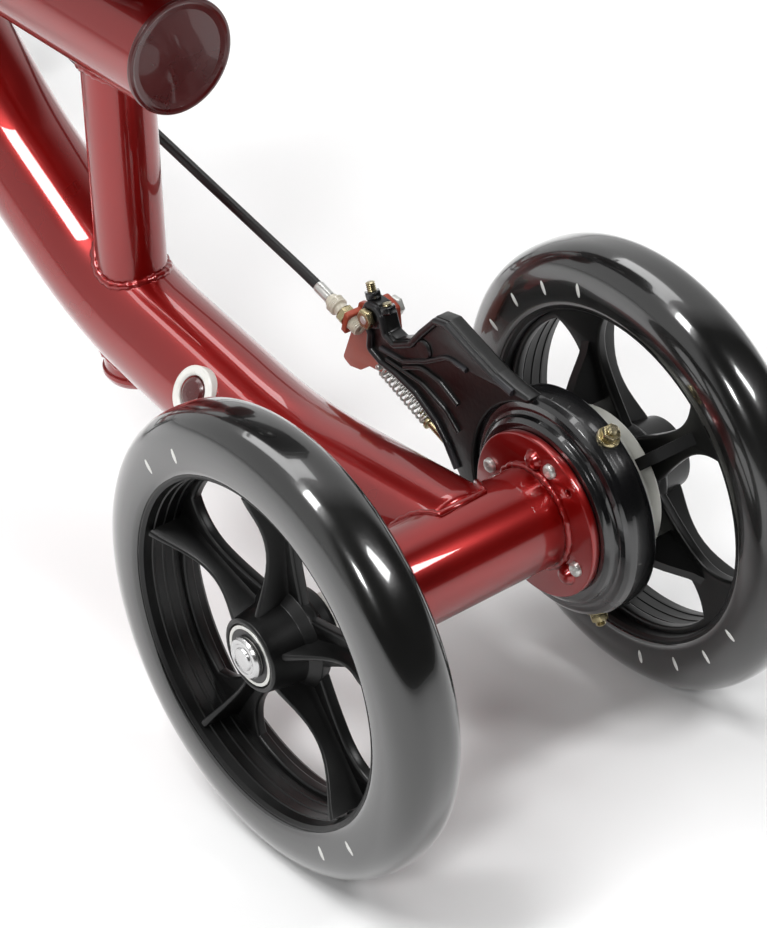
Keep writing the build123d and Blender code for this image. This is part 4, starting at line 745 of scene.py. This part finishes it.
cap_face = frame_at((0, REAR_Y + TOP_REAR, TOP_HEIGHT), (1, 0, 0), (0, -1, 0))
end_cap = turned("cap", [(2.0, 0.0), (1.5, 14.0), (1.2, 21.0), (1.6, 23.4), (2.3, 24.6),
                         (2.0, 25.9), (0.8, 26.2), (0.0, 26.2), (0.0, 23.4), (-10.0, 23.4),
                         (-10.0, 0.0)], cap_face, red_plastic, 96, closed=False, radii=0.5)
plug_lean = radians(32.0)
plug_face = frame_at((0, REAR_Y + 157.0, AXLE_Z - 6.0), (0, 1, 0),
                     (-cos(plug_lean), 0, sin(plug_lean)))
plug = turned("plug", [(21.9, 7.7), (24.6, 7.7), (26.6, 6.9), (27.5, 5.2), (27.9, 2.6), (28.0, 0.0),
                       (21.9, 0.0)], plug_face, red_plastic, 56, closed=False, radii=0.4)
join("end_cap_and_plug", [end_cap, plug], ["frame_plugs"], "frame")
washer = turned("white_washer", [(21.8, 7.8), (21.8, 12.2), (26.6, 12.2), (27.4, 11.2),
                                 (27.6, 10.0), (27.4, 8.8), (26.6, 7.8)], plug_face,
                white_plastic, 72, radii=0.5)
join("white_washer", [washer], ["plug_washer"], "frame")

# --- Rear brake ----------------------------------------------------------------------

cover_ring = [(41.0, 12.0), (41.0, 36.6), (41.0, 39.6), (42.4, 41.4), (44.4, 42.0), (45.2, 43.4),
              (45.2, 44.8), (45.8, 47.0), (47.2, 48.8), (49.6, 49.8), (60.0, 49.8),
              (60.0, 47.2), (49.7, 47.2), (46.4, 42.6),
              (44.0, 37.0), (44.0, 12.0)]
ARM_OUTLINE = (
    (10.0, 48.9), (20.0, 49.6), (31.0, 51.6), (44.0, 55.9), (62.0, 62.4), (70.5, 60.8), (81.0, 49.5),
    (88.0, 41.0), (98.0, 35.7), (103.0, 37.0), (105.5, 44.5), (110.0, 47.6), (116.7, 47.6),
    (121.0, 40.0), (116.5, 31.0), (117.5, 22.5), (108.0, 18.5), (98.0, 17.6), (85.0, 14.4),
    (72.0, 6.7), (65.3, -0.3), (58.8, -10.0), (54.2, -16.5),
)


def inset(outline, depth):
    """An outline moved inward along its corners' bisectors."""
    area = sum(a[0] * b[1] - b[0] * a[1]
               for a, b in zip(outline, outline[1:] + outline[:1])) / 2
    turn = 1 if area > 0 else -1
    moved = []
    for i, point in enumerate(outline):
        here = Vector(point)
        back = (here - Vector(outline[i - 1])).normalized()
        on = (Vector(outline[(i + 1) % len(outline)]) - here).normalized()
        normal = Vector((-(back.y + on.y), back.x + on.x)) * turn
        if normal.length < 1e-6:
            moved.append(tuple(here))
            continue
        normal.normalize()
        spread = max(abs(normal.dot(Vector((-back.y, back.x)))), 0.45)
        moved.append(tuple(here + normal * depth / spread))
    return moved


# The arm's root follows the cover, from its lower edge to its upper one.
root = [(47.6 * cos(radians(a)), 47.6 * sin(radians(a))) for a in range(-20, 77, 6)]
arm_shape = rounded(list(ARM_OUTLINE) + root,
                    [2.2] * (len(ARM_OUTLINE) - 1) + [0] * (len(root) + 1), True, 3)
arm_parts = [
    turned("shell", cover_ring, axle_frame, black_paint, 144, radii=0.55),
    plate("arm", [arm_shape], 7.5, 1.1, axle_frame @ Matrix.Translation((0, 0, 47.25)), casting),
]
rim_path = rounded(inset(list(ARM_OUTLINE), 1.9)[1:-1], 2.0, steps=3)
arm_parts.append(build("rim", sweep(bmesh.new(), [(x, y, 43.1) for x, y in rim_path], 1.75, 12),
                       axle_frame, casting, 60))
for run in (
    ((50.0, 44.0), (62.0, 45.0), (76.0, 36.0), (92.0, 28.0), (108.0, 27.0)),
    ((56.0, 24.0), (68.0, 30.0), (80.0, 31.0), (92.0, 25.0)),
    ((56.0, 10.0), (64.0, 17.0), (80.0, 23.0), (104.0, 23.5)),
):
    points = rounded(list(run), 12.0, steps=6)
    arm_parts.append(build("rib", sweep(bmesh.new(), [(x, y, 43.2) for x, y in points], 1.25, 12),
                           axle_frame, casting, 60))
for at, radius, front in (((113.0, 41.0), 6.0, 41.6), ((78.0, 41.0), 4.6, 42.2)):
    boss = [(front, 0.0), (front, radius - 0.8), (front + 0.8, radius), (46.0, radius + 0.6),
            (46.0, 0.0)]
    arm_parts.append(turned("boss", boss, axle_frame @ Matrix.Translation((*at, 0)), casting, 40,
                            closed=False))
join("brake_cover_and_arm", arm_parts, ["brake_cover"], "frame")

screw_parts = []
for radius, angle in SCREW_PLACES:
    at = axle_frame @ Matrix.Translation((radius * cos(radians(angle)),
                                          radius * sin(radians(angle)), 0))
    head = [(34.4, 0.0), (34.6, 1.0), (34.8, 2.2), (35.5, 3.1), (37.0, 3.4), (37.0, 2.4),
            (43.9, 2.4), (43.9, 0.0)]
    screw_parts.append(turned("screw", head, at, zinc, 32, closed=False, radii=0.2))
pivot_at = axle_frame @ Matrix.Translation((113.0, 41.0, 0))
screw_parts.append(plate("head", [rounded(hexagon(8.0), 0.4, True)], 3.4, 0.5,
                         pivot_at @ Matrix.Translation((0, 0, 39.6)), brass_zinc))
screw_parts.append(turned("shank", [(37.4, 0.0), (37.6, 1.8), (38.4, 2.3), (55.0, 2.45),
                                    (55.0, 0.0)], pivot_at, zinc, 32, closed=False, radii=0.2))
screw_parts.append(plate("nut", [rounded(hexagon(8.0), 0.4, True)], 3.0, 0.5,
                         pivot_at @ Matrix.Translation((0, 0, 56.1)), zinc))
for at, tall in (((116.5, 46.8), 7.6), ((106.2, 44.2), 4.6)):
    up = frame_at((46.8, REAR_Y + at[0], AXLE_Z + at[1]), (1, 0, 0), (0, 0.32, 0.95))
    screw_parts.append(plate("nut", [rounded(hexagon(6.6), 0.4, True)], 3.4, 0.5,
                             up @ Matrix.Translation((0, 0, 1.7)), black_paint))
    stud = [(0.0, 0.0), (0.0, 2.1)]
    stud += [(0.5 + 0.45 * k, 2.1 if k % 2 else 1.75) for k in range(int(tall / 0.45))]
    stud += [(tall, 1.5), (tall, 0.0)]
    screw_parts.append(turned("stud", stud, up, brass_zinc, 24, closed=False, radii=0))
SPRING_TOP = Vector((110.0, 14.0))
SPRING_FOOT = Vector((80.5, 2.5))
SPRING_X = 46.4
spring_run = SPRING_FOOT - SPRING_TOP
spring_frame = frame_at((SPRING_X, REAR_Y + SPRING_TOP.x, AXLE_Z + SPRING_TOP.y), (1, 0, 0),
                        (0, spring_run.x, spring_run.y))
post = [(spring_run.length - 5.0, 0.0), (spring_run.length - 4.6, 1.3),
        (spring_run.length + 0.6, 1.7), (spring_run.length + 0.6, 3.4),
        (spring_run.length + 2.0, 3.5), (spring_run.length + 2.2, 1.9),
        (spring_run.length + 17.0, 1.7), (spring_run.length + 17.0, 0.0)]
screw_parts.append(turned("post", post, spring_frame, brass_zinc, 28, closed=False, radii=0.2))
join("brake_fasteners", screw_parts, ["brake_screws"], "frame")

spring_bm = bmesh.new()
wire = []
TURNS = 11.0
for k in range(12 * 28 + 1):
    t = k / (12 * 28)
    wound = -0.5 + (TURNS + 1.0) * t
    along = min(max(wound / TURNS, 0.0), 1.0) * (spring_run.length - 1.2) + 0.6
    wire.append((3.0 * cos(2 * pi * wound), 3.0 * sin(2 * pi * wound), along))
join("coil_spring", [build("spring", sweep(spring_bm, wire, 0.55, 8), spring_frame, zinc, 70)],
     ["return_spring"])
coil = bpy.data.objects["coil_spring"]


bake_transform(coil)

LEVER_OUTLINE = (
    (107.5, 44.0), (116.0, 47.0), (124.0, 38.0), (133.5, 35.0), (137.0, 24.0), (143.0, 9.0),
    (146.5, 0.5), (141.5, -2.0), (134.0, -0.5), (127.5, 4.6), (118.5, 5.5), (108.0, 11.0),
    (106.0, 26.0),
)
TAB_POINT = (131.0, 27.7)
CABLE_SLOPE = radians(16.5)
tab_frame = frame_at((SPRING_X, REAR_Y + TAB_POINT[0], AXLE_Z + TAB_POINT[1]), (1, 0, 0),
                     (0, cos(CABLE_SLOPE), sin(CABLE_SLOPE)))
lever_parts = [
    plate("plate", [rounded(LEVER_OUTLINE, 2.2, True, 4), circle(2.55, 32, (113.0, 41.0))], 3.0,
          0.6, axle_frame @ Matrix.Translation((0, 0, 52.8)), copper),
    plate("tab", [rounded([(-4.0, -5.5), (7.6, -5.5), (7.6, 5.5), (-4.0, 5.5)], 1.4, True),
                  circle(3.7, 32)], 3.0, 0.5, tab_frame @ Matrix.Translation((0, 0, 1.5)), copper),
    turned("pin", [(43.4, 0.0), (43.6, 1.1), (44.2, 1.4), (52.0, 1.4), (52.0, 0.0)],
           axle_frame @ Matrix.Translation((111.9, 14.75, 0)), zinc, 24, closed=False, radii=0.2),
]
join("copper_lever", lever_parts, ["brake_arm"], "brake_arm")

barrel = [(-5.0, 1.2), (-5.0, 3.0)]
barrel += [(-4.6 + 0.5 * k, 3.55 if k % 2 else 3.05) for k in range(9)]
barrel += [(0.0, 3.6), (3.0, 3.6), (7.0, 3.6), (7.6, 3.1), (10.0, 3.1), (10.4, 4.3), (10.9, 4.4),
           (11.5, 4.0), (12.1, 4.4), (12.7, 4.0), (13.3, 4.4), (13.9, 4.4), (14.4, 3.5),
           (16.0, 3.2), (16.5, 2.9), (16.5, 2.45), (8.0, 2.45), (8.0, 1.2)]
join("barrel_adjuster", [
    turned("barrel", barrel, tab_frame, cream, 40, radii=0.15),
    plate("locknut", [rounded(hexagon(8.0), 0.5, True), circle(3.6, 32)], 4.0, 0.5,
          tab_frame @ Matrix.Translation((0, 0, 5.0)), brass_zinc),
], ["cable_adjuster"], "brake_arm")

bolt_parts = []
for angle in (120.0, 248.0):
    out = (0, cos(radians(angle)), sin(radians(angle)))
    rim_place = frame_at((55.5, REAR_Y + 49.8 * out[1], AXLE_Z + 49.8 * out[2]), (1, 0, 0), out)
    bolt_parts.append(turned("seat", [(-0.6, 0.0), (-0.6, 4.8), (0.8, 5.0), (1.4, 4.6), (1.4, 0.0)],
                             rim_place, brass_zinc, 40, closed=False, radii=0.2))
    bolt_parts.append(plate("hex", [rounded(hexagon(7.0), 0.5, True)], 4.0, 0.6,
                            rim_place @ Matrix.Translation((0, 0, 3.4)), brass_zinc))
    thread = [(5.3, 0.0), (5.3, 2.2)]
    thread += [(5.5 + 0.35 * k, 2.2 if k % 2 else 1.85) for k in range(7)]
    thread += [(7.9, 1.6), (7.9, 0.0)]
    bolt_parts.append(turned("thread", thread, rim_place, brass_zinc, 24, closed=False, radii=0))
join("rim_bolts", bolt_parts, ["band_screws"], "frame")

drum = [(52.0, 39.5), (52.0, 43.1), (52.4, 43.5), (64.7, 43.5), (65.15, 43.0), (65.15, 34.6),
        (65.8, 34.0), (71.0, 33.8), (77.0, 34.0), (77.65, 33.4), (77.65, 11.5), (73.65, 11.5),
        (73.65, 30.0), (61.15, 30.0), (61.15, 39.5)]
join("zinc_drum", [turned("drum", drum, axle_frame, drum_zinc, 120, radii=0.2)], ["brake_drum"],
     "wheel_rear_right")

axle_parts = []
for side in (-1, 1):
    end = side * (94.65 + HUB_OUTER)
    cap = [(end + side * 0.3, 0.0), (end + side * 0.3, 8.8), (end + side * 1.8, 9.0),
           (end + side * 3.0, 8.2), (end + side * 3.2, 6.8), (end + side * 2.6, 6.2),
           (end + side * 2.6, 5.0), (end + side * 3.6, 4.6), (end + side * 4.0, 2.8),
           (end + side * 4.0, 0.0)]
    axle_parts.append(turned("cap", cap, axle_frame, silver, 56, closed=False, radii=0.3))
axle_parts.append(turned("rod", [(-111.0, 0.0), (-111.0, 6.0), (111.0, 6.0), (111.0, 0.0)],
                         axle_frame, zinc, 48, closed=False, radii=0.3))
join("rear_axle_rod", axle_parts, ["rear_axle"], "frame")

# --- Brake cable ---------------------------------------------------------------------

lean_up = Vector((0, -sin(COLUMN_LEAN), cos(COLUMN_LEAN)))
lean_on = Vector((0, cos(COLUMN_LEAN), sin(COLUMN_LEAN)))
fold_pin = Vector((0, FRONT_Y, FOLD_HEIGHT))


def on_column(x, y, z):
    """A place given sideways, forward and up the leaning column, in millimetres."""
    return fold_pin + Vector((x, 0, 0)) + lean_on * y + lean_up * z


def on_bar(x, y, z):
    """The same, from the middle of the handlebar."""
    return on_column(x, y, BAR_RISE + z)


CABLE_RADIUS = 2.4
cable_start = tab_frame @ Vector((0, 0, 16.5)) * 1000
cable_lead = tab_frame @ Vector((0, 0, 28.5)) * 1000
CABLE_FRAME = [
    tuple(cable_start), tuple(cable_lead), (45.0, -150.0, 147.0), (36.0, -40.0, 183.0),
    (29.5, 38.0, 207.0), (28.5, 62.0, 221.0), (28.3, 100.0, 252.0), (28.3, 140.0, 277.0),
    (28.3, 195.0, 288.5), (28.4, 252.0, 296.6), (28.8, 292.0, 302.2),
]
CABLE_LOWER = [
    (28.8, 292.0, 302.2), (29.0, 312.0, 305.0), (36.0, 331.0, 311.0), (40.6, 343.5, 328.0),
    (41.2, 345.0, 356.0), (41.0, 345.5, 395.0), (40.5, 345.2, 430.0), (40.2, 345.0, 445.0),
]
CABLE_FOLD = [
    (40.2, 345.0, 445.0), (40.0, 344.8, 460.0), (40.0, 344.5, 496.0), (36.0, 338.0, 530.0),
    (27.5, 332.5, 568.0), (20.2, 327.8, 602.0), (19.7, 324.0, 630.0),
]
CABLE_UPPER = [
    (19.7, 324.0, 630.0), (19.7, 321.2, 650.0), (22.0, 323.0, 690.0), (21.0, 347.0, 735.0),
    (14.5, 366.0, 775.0), (15.0, 369.0, 808.0), (27.0, 352.0, 834.0),
    tuple(on_bar(50.0, 39.0, 0)), tuple(on_bar(66.0, 39.0, 0)),
]


def smooth_run(name, points):
    """Points along a NURBS spline through a route, in millimetres."""
    line = bpy.data.curves.new(name, "CURVE")
    line.dimensions = "3D"
    line.resolution_u = 14
    spline = line.splines.new("NURBS")
    spline.points.add(len(points) - 1)
    for point, place in zip(spline.points, points):
        point.co = (*place, 1)
    spline.order_u = 3
    spline.use_endpoint_u = True
    carrier = bpy.data.objects.new(name, line)
    scene.collection.objects.link(carrier)
    bpy.context.view_layer.update()
    traced = bpy.data.meshes.new_from_object(carrier)
    run = [v.co.copy() for v in traced.vertices]
    bpy.data.objects.remove(carrier)
    bpy.data.meshes.remove(traced)
    return run


def cable(name, points, ends=()):
    """A length of cable housing with a metal ferrule at the ends asked for."""
    run = smooth_run(name, points)
    parts = [build("housing", sweep(bmesh.new(), run, CABLE_RADIUS, 20), identity, black_plastic,
                   60)]
    for index in ends:
        end, inner = (run[0], run[3]) if index == 0 else (run[-1], run[-4])
        along = (inner - end).normalized()
        sleeve = [(0.2, 1.1), (0.2, 2.2), (0.6, 2.75), (8.6, 2.75), (9.2, 2.45), (9.2, 1.1)]
        parts.append(turned("ferrule", sleeve, frame_at(end, along.orthogonal(), along), zinc, 28,
                            radii=0.15))
    return join(name, parts)


brake_run = cable("cable_on_spine", CABLE_FRAME, ends=(0,))
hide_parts("brake_cable")
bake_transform(brake_run)
steer_run = cable("cable_at_head", CABLE_LOWER)
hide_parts("cable_lower")
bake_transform(steer_run)
fold_run = cable("cable_at_fold", CABLE_FOLD)
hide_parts("cable_lower")
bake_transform(fold_run)
hand_run = cable("cable_to_lever", CABLE_UPPER, ends=(1,))
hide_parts("cable_upper")
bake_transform(hand_run)

for index, y in enumerate((112.0, 222.0)):
    z, slope = spine_at(y)
    tilt = atan2(slope, 1.0)
    wrap = []
    for k in range(60):
        a = 2 * pi * k / 60
        reach = 26.3 + 5.2 * max(0.0, cos(a + 0.10)) ** 24
        wrap.append((reach * cos(a), y - reach * sin(a) * sin(tilt),
                     z + reach * sin(a) * cos(tilt)))
    strap = bmesh.new()
    rows = []
    along = Vector((0, cos(tilt), sin(tilt)))
    for x, b, c in wrap:
        here = Vector((x, b, c))
        out = (here - Vector((0, y, z))).normalized()
        rows.append([strap.verts.new(here + out * r + along * w)
                     for r, w in ((-0.7, -1.9), (0.5, -1.9), (0.7, -1.5), (0.7, 1.5), (0.5, 1.9),
                                  (-0.7, 1.9))])
    for one, two in zip(rows, rows[1:] + rows[:1]):
        for m in range(6):
            n = (m + 1) % 6
            strap.faces.new((one[m], one[n], two[n], two[m]))
    lock_at = frame_at((0, y, z), (1, 0, 0), (0, -sin(tilt), cos(tilt)))
    lock_outline = [(-3.2, -2.8), (3.2, -2.8), (3.2, 2.8), (-3.2, 2.8)]
    lock = plate("lock", [rounded(lock_outline, 0.8, True)], 3.6, 0.5,
                 lock_at @ Matrix.Translation((0, 0, -27.6)), black_plastic)
    join(f"cable_tie_{index + 1}", [build("strap", strap, identity, black_plastic, 50), lock],
         body="frame")

# --- Handlebar -----------------------------------------------------------------------

bar_frame = frame_at(on_bar(0, 0, 0), lean_on, (1, 0, 0))
grip_parts = []
GRIP_START = 98.0
GRIP_LENGTH = 126.0
for side in (-1, 1):
    profile = [(0.0, 11.15), (0.0, 19.4), (1.0, 20.5), (3.6, 20.5), (5.0, 19.0), (6.0, 15.6)]
    along = 9.0
    while along < GRIP_LENGTH - 16:
        profile += [(along, 15.9), (along + 0.9, 15.9), (along + 1.5, 14.9), (along + 2.6, 14.9)]
        along += 3.2
    profile += [(GRIP_LENGTH - 13, 15.2), (GRIP_LENGTH - 10, 16.0), (GRIP_LENGTH - 3, 16.0),
                (GRIP_LENGTH - 0.8, 14.6), (GRIP_LENGTH, 11.0), (GRIP_LENGTH, 0.0),
                (GRIP_LENGTH - 4.0, 0.0), (GRIP_LENGTH - 4.0, 11.15)]
    shaped = [(side * (GRIP_START + a), r) for a, r in profile]
    grip_parts.append(turned("grip", shaped, bar_frame, rubber, 72, closed=True, radii=0.35))
join("ribbed_grips", grip_parts, ["grips"], "handlebar")

blade = rounded([(78.0, 24.0), (90.0, 22.5), (104.0, 37.0), (124.0, 43.0), (200.0, 47.0),
                 (206.0, 52.0), (200.0, 57.0), (122.0, 53.0), (98.0, 47.0), (84.0, 35.5)], 3.4,
                True, 5)
lever_frame = frame_at(on_bar(0, 0, 0), (1, 0, 0), lean_up)
join("hand_brake_blade", [plate("blade", [blade, circle(3.05, 32, (86.0, 29.0))], 9.0, 2.4,
                                lever_frame, silver, 4)], ["brake_lever"], "brake_lever")

# --- Knee pad ------------------------------------------------------------------------

PAD_Y = POST_Y + 20.0
PAD_LOW = 396.5
PAD_HIGH = 449.0
HALF_WIDTH = 86.0
HALF_LENGTH = 171.0
CORNER = 32.0


def pad_outline(shrink=0.0, count=96):
    """Points round the pad's rounded rectangle, about its middle."""
    outline = []
    width, length, corner = HALF_WIDTH - shrink, HALF_LENGTH - shrink, CORNER - shrink / 2
    for k in range(count):
        a = 2 * pi * k / count
        c, s = cos(a), sin(a)
        power = 0.34
        outline.append((width * (abs(c) ** power) * (1 if c >= 0 else -1),
                        length * (abs(s) ** power) * (1 if s >= 0 else -1)))
    smoothed = []
    for i, (x, y) in enumerate(outline):
        far_x = max(abs(x) - (width - corner), 0)
        far_y = max(abs(y) - (length - corner), 0)
        reach = hypot(far_x, far_y)
        if far_x > 0 and far_y > 0 and reach > corner:
            x = (1 if x >= 0 else -1) * (width - corner + far_x * corner / reach)
            y = (1 if y >= 0 else -1) * (length - corner + far_y * corner / reach)
        smoothed.append((x, y))
    return smoothed


pad_bm = bmesh.new()
levels = ((PAD_LOW, 9.0), (PAD_LOW + 1.5, 3.0), (PAD_LOW + 10, 0.5), (PAD_LOW + 24, 0.0),
          (PAD_HIGH - 18, 0.0), (PAD_HIGH - 9, 2.2), (PAD_HIGH - 3, 7.0), (PAD_HIGH, 15.0))
rings = []
for z, shrink in levels:
    rings.append([pad_bm.verts.new((x, PAD_Y + y, z)) for x, y in pad_outline(shrink)])
for one, two in zip(rings, rings[1:]):
    for k in range(96):
        m = (k + 1) % 96
        pad_bm.faces.new((one[k], one[m], two[m], two[k]))
for ring in (rings[0], rings[-1]):
    middle = pad_bm.verts.new((0, PAD_Y, ring[0].co.z))
    for k in range(96):
        pad_bm.faces.new((ring[k], ring[(k + 1) % 96], middle))
cushion = build("knee_cushion", pad_bm, identity, pad_vinyl, 180)


def apply_modifiers(obj):
    """Bakes an object's modifiers into its mesh."""
    bpy.context.view_layer.update()
    shaped = bpy.data.meshes.new_from_object(
        obj.evaluated_get(bpy.context.evaluated_depsgraph_get()))
    obj.modifiers.clear()
    old = obj.data
    obj.data = shaped
    bpy.data.meshes.remove(old)


def inflate(obj, voxel, pressure, cap):
    """Swells a closed mesh as cloth under pressure, and limits how far each point moves."""
    remesh = obj.modifiers.new("remesh", "REMESH")
    remesh.mode = "VOXEL"
    remesh.voxel_size = voxel
    remesh.use_smooth_shade = True
    apply_modifiers(obj)
    before = [v.co.copy() for v in obj.data.vertices]
    pinned = obj.vertex_groups.new(name="pinned")
    low = min(v.z for v in before)
    pinned.add([i for i, v in enumerate(before) if v.z < low + 0.006], 1.0, "REPLACE")
    cloth = obj.modifiers.new("cloth", "CLOTH")
    cloth.settings.use_pressure = True
    cloth.settings.uniform_pressure_force = pressure
    cloth.settings.effector_weights.gravity = 0
    cloth.settings.vertex_group_mass = "pinned"
    cloth.settings.quality = 5
    cloth.collision_settings.use_self_collision = False
    cloth.point_cache.frame_start = 1
    cloth.point_cache.frame_end = 20
    for step in range(1, 21):
        scene.frame_set(step)
    apply_modifiers(obj)
    for vertex, start in zip(obj.data.vertices, before):
        move = vertex.co - start
        if move.length > cap:
            vertex.co = start + move.normalized() * cap
    relax = obj.modifiers.new("relax", "SMOOTH")
    relax.factor = 0.5
    relax.iterations = 5
    apply_modifiers(obj)
    scene.frame_set(1)


inflate(cushion, 0.005, 6.0, 0.0035)

SEAM_INSET = 26.0
SEAM_CORNER = 22.0


def seam_gap(x, y):
    """Signed distance in millimetres from the top panel's stitched line, by its rectangle."""
    width, length, corner = HALF_WIDTH - SEAM_INSET, HALF_LENGTH - SEAM_INSET, SEAM_CORNER
    dx = max(abs(x) - (width - corner), 0)
    dy = max(abs(y) - (length - corner), 0)
    if dx > 0 or dy > 0:
        return hypot(dx, dy) - corner
    return max(abs(x) - width, abs(y) - length)


smooth = cushion.modifiers.new("smooth", "SUBSURF")
smooth.levels = 1
smooth.render_levels = 1
apply_modifiers(cushion)
for vertex in cushion.data.vertices:
    x, y, z = vertex.co * 1000
    y -= PAD_Y
    if z < PAD_HIGH - 12:
        waist = max(0.0, 1 - abs(z - (PAD_LOW + 22)) / 26)
        pull = 0.35 * noise.noise(Vector((x * 0.05, y * 0.05, z * 0.02)))
        vertex.co.x *= 1 - 0.004 * pull * waist
        continue
    groove = 2.2 * exp(-((seam_gap(x, y) / 2.4) ** 2))
    cross = 1.6 * exp(-((x / 2.6) ** 2)) if seam_gap(x, y) < 0 else 0.0
    soft = 0.5 * noise.noise(Vector((x * 0.02, y * 0.02, 3.1)))
    vertex.co.z -= (groove + cross + soft) * MM
for polygon in cushion.data.polygons:
    polygon.use_smooth = True

piping = []
for z, grow in ((PAD_HIGH - 13.0, 2.2), (PAD_LOW + 4.0, 1.6)):
    run = []
    for x, y in pad_outline(0.0, 200):
        near = Vector((x, y, 0))
        ray_from = Vector((x * 1.6 * MM, (PAD_Y + y * 1.6) * MM, z * MM))
        aim = (Vector((0, PAD_Y * MM, z * MM)) - ray_from)
        if abs(y) > HALF_LENGTH - CORNER or abs(x) < HALF_WIDTH - CORNER:
            aim = Vector((x * 0.55 * MM, (PAD_Y + y * 0.55) * MM, z * MM)) - ray_from
        hit, where, normal, _ = cushion.ray_cast(ray_from, aim.normalized())
        if hit:
            run.append((where + Vector((normal.x, normal.y, 0)).normalized() * 0.0004) * 1000)
    run.append(run[0])
    piping.append(build("piping", sweep(bmesh.new(), run, grow, 10), identity, pad_vinyl, 80))
stitches = bmesh.new()
previous = None
for k in range(0, 240):
    a = 2 * pi * k / 240
    ring = pad_outline(30.5, 240)[k]
    nxt = pad_outline(30.5, 240)[(k + 1) % 240]
    for portion in (0.0, 0.5):
        x = ring[0] + (nxt[0] - ring[0]) * portion
        y = ring[1] + (nxt[1] - ring[1]) * portion
        if previous is not None and hypot(x - previous[0], y - previous[1]) < 4.6:
            continue
        hit, where, normal, _ = cushion.ray_cast(Vector((x, PAD_Y + y, PAD_HIGH + 40)) * MM,
                                                 Vector((0, 0, -1)))
        if not hit:
            continue
        aim = Vector((nxt[0] - ring[0], nxt[1] - ring[1], 0)).normalized()
        made = bmesh.ops.create_uvsphere(stitches, u_segments=8, v_segments=5, radius=1.0)
        spin = aim.to_track_quat("X", "Z").to_matrix().to_4x4()
        bmesh.ops.transform(stitches, verts=made["verts"],
                            matrix=Matrix.Translation(where * 1000 + Vector((0, 0, 0.1)))
                            @ spin @ Matrix.Diagonal((1.6, 0.5, 0.4, 1)))
        previous = (x, y)
stitch_finish = material("stitching", linear(60, 60, 64), linear(86, 86, 90), (0.6, 0.8),
                         patch=300.0, grain=1200.0, bump=0.3)
join("pad_piping", piping, body="pad")
join("pad_stitching", [build("stitches", stitches, identity, stitch_finish, 80)], body="pad")
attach(cushion, "pad")
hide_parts("pad_cushion")

# --- Studio and camera ---------------------------------------------------------------

floor_bm = bmesh.new()
for x, y in ((-14, -14), (14, -14), (14, 14), (-14, 14)):
    floor_bm.verts.new((x, y, 0))
floor_bm.verts.ensure_lookup_table()
floor_bm.faces.new(floor_bm.verts)
floor_finish = material("studio_floor", (0.86, 0.86, 0.86, 1), (0.9, 0.9, 0.9, 1), (0.6, 0.7),
                        patch=0.4, grain=30.0, bump=0.0)
build("floor", floor_bm, Matrix.Identity(4), floor_finish)

world = bpy.data.worlds.new("studio")
scene.world = world
world.use_nodes = True
sky = world.node_tree
back = sky.nodes["Background"]
direction = node(sky, "ShaderNodeTexCoord")
split = node(sky, "ShaderNodeSeparateXYZ")
sky.links.new(direction.outputs["Generated"], split.inputs["Vector"])
# A pale sweep ahead of the scooter and a dark room behind the camera.
ramp = node(sky, "ShaderNodeMapRange", from_min=-0.12, from_max=0.10, to_min=0.02, to_max=0.78)
sky.links.new(split.outputs["Y"], ramp.inputs["Value"])
sky.links.new(ramp.outputs["Result"], back.inputs["Color"])
back.inputs["Strength"].default_value = 1.0


def softbox(name, place, aim, width, height, power):
    """A rectangular studio light."""
    lamp = bpy.data.lights.new(name, "AREA")
    lamp.shape = "RECTANGLE"
    lamp.size = width
    lamp.size_y = height
    lamp.energy = power
    made = bpy.data.objects.new(name, lamp)
    made.location = place
    made.rotation_euler = (Vector(aim) - Vector(place)).to_track_quat("-Z", "Y").to_euler()
    scene.collection.objects.link(made)


softbox("left_strip", (-1.0, -0.25, 2.2), (-0.1, -0.4, 0.2), 0.35, 1.0, 26)
softbox("rear_strip", (0.85, -1.6, 1.8), (-0.1, -0.4, 0.2), 0.3, 0.6, 13)
softbox("top", (0.1, 1.3, 3.0), (0, 0.2, 0), 2.6, 2.2, 74)
softbox("fill", (-2.4, -2.2, 2.6), (0, -0.2, 0.1), 0.6, 0.6, 40)

CAMERA = Vector((-0.7818, -1.3109, 0.9967))
ELEVATION = radians(34.43)
AZIMUTH = radians(37.51)
ROLL = radians(-1.90)
look = Vector((sin(AZIMUTH) * cos(ELEVATION), cos(AZIMUTH) * cos(ELEVATION), -sin(ELEVATION)))
right = Vector((cos(AZIMUTH), -sin(AZIMUTH), 0))
above = right.cross(look)
right_rolled = right * cos(ROLL) + above * sin(ROLL)
above_rolled = above * cos(ROLL) - right * sin(ROLL)
lens = bpy.data.cameras.new("camera")
lens.sensor_fit = "VERTICAL"
lens.sensor_height = 36.0
lens.lens = 145.5
lens.clip_end = 60.0
camera = bpy.data.objects.new("camera", lens)
camera.matrix_world = Matrix.Translation(CAMERA) @ Matrix(
    (right_rolled, above_rolled, -look)).transposed().to_4x4()
scene.collection.objects.link(camera)
scene.camera = camera
scene.view_settings.view_transform = "Standard"
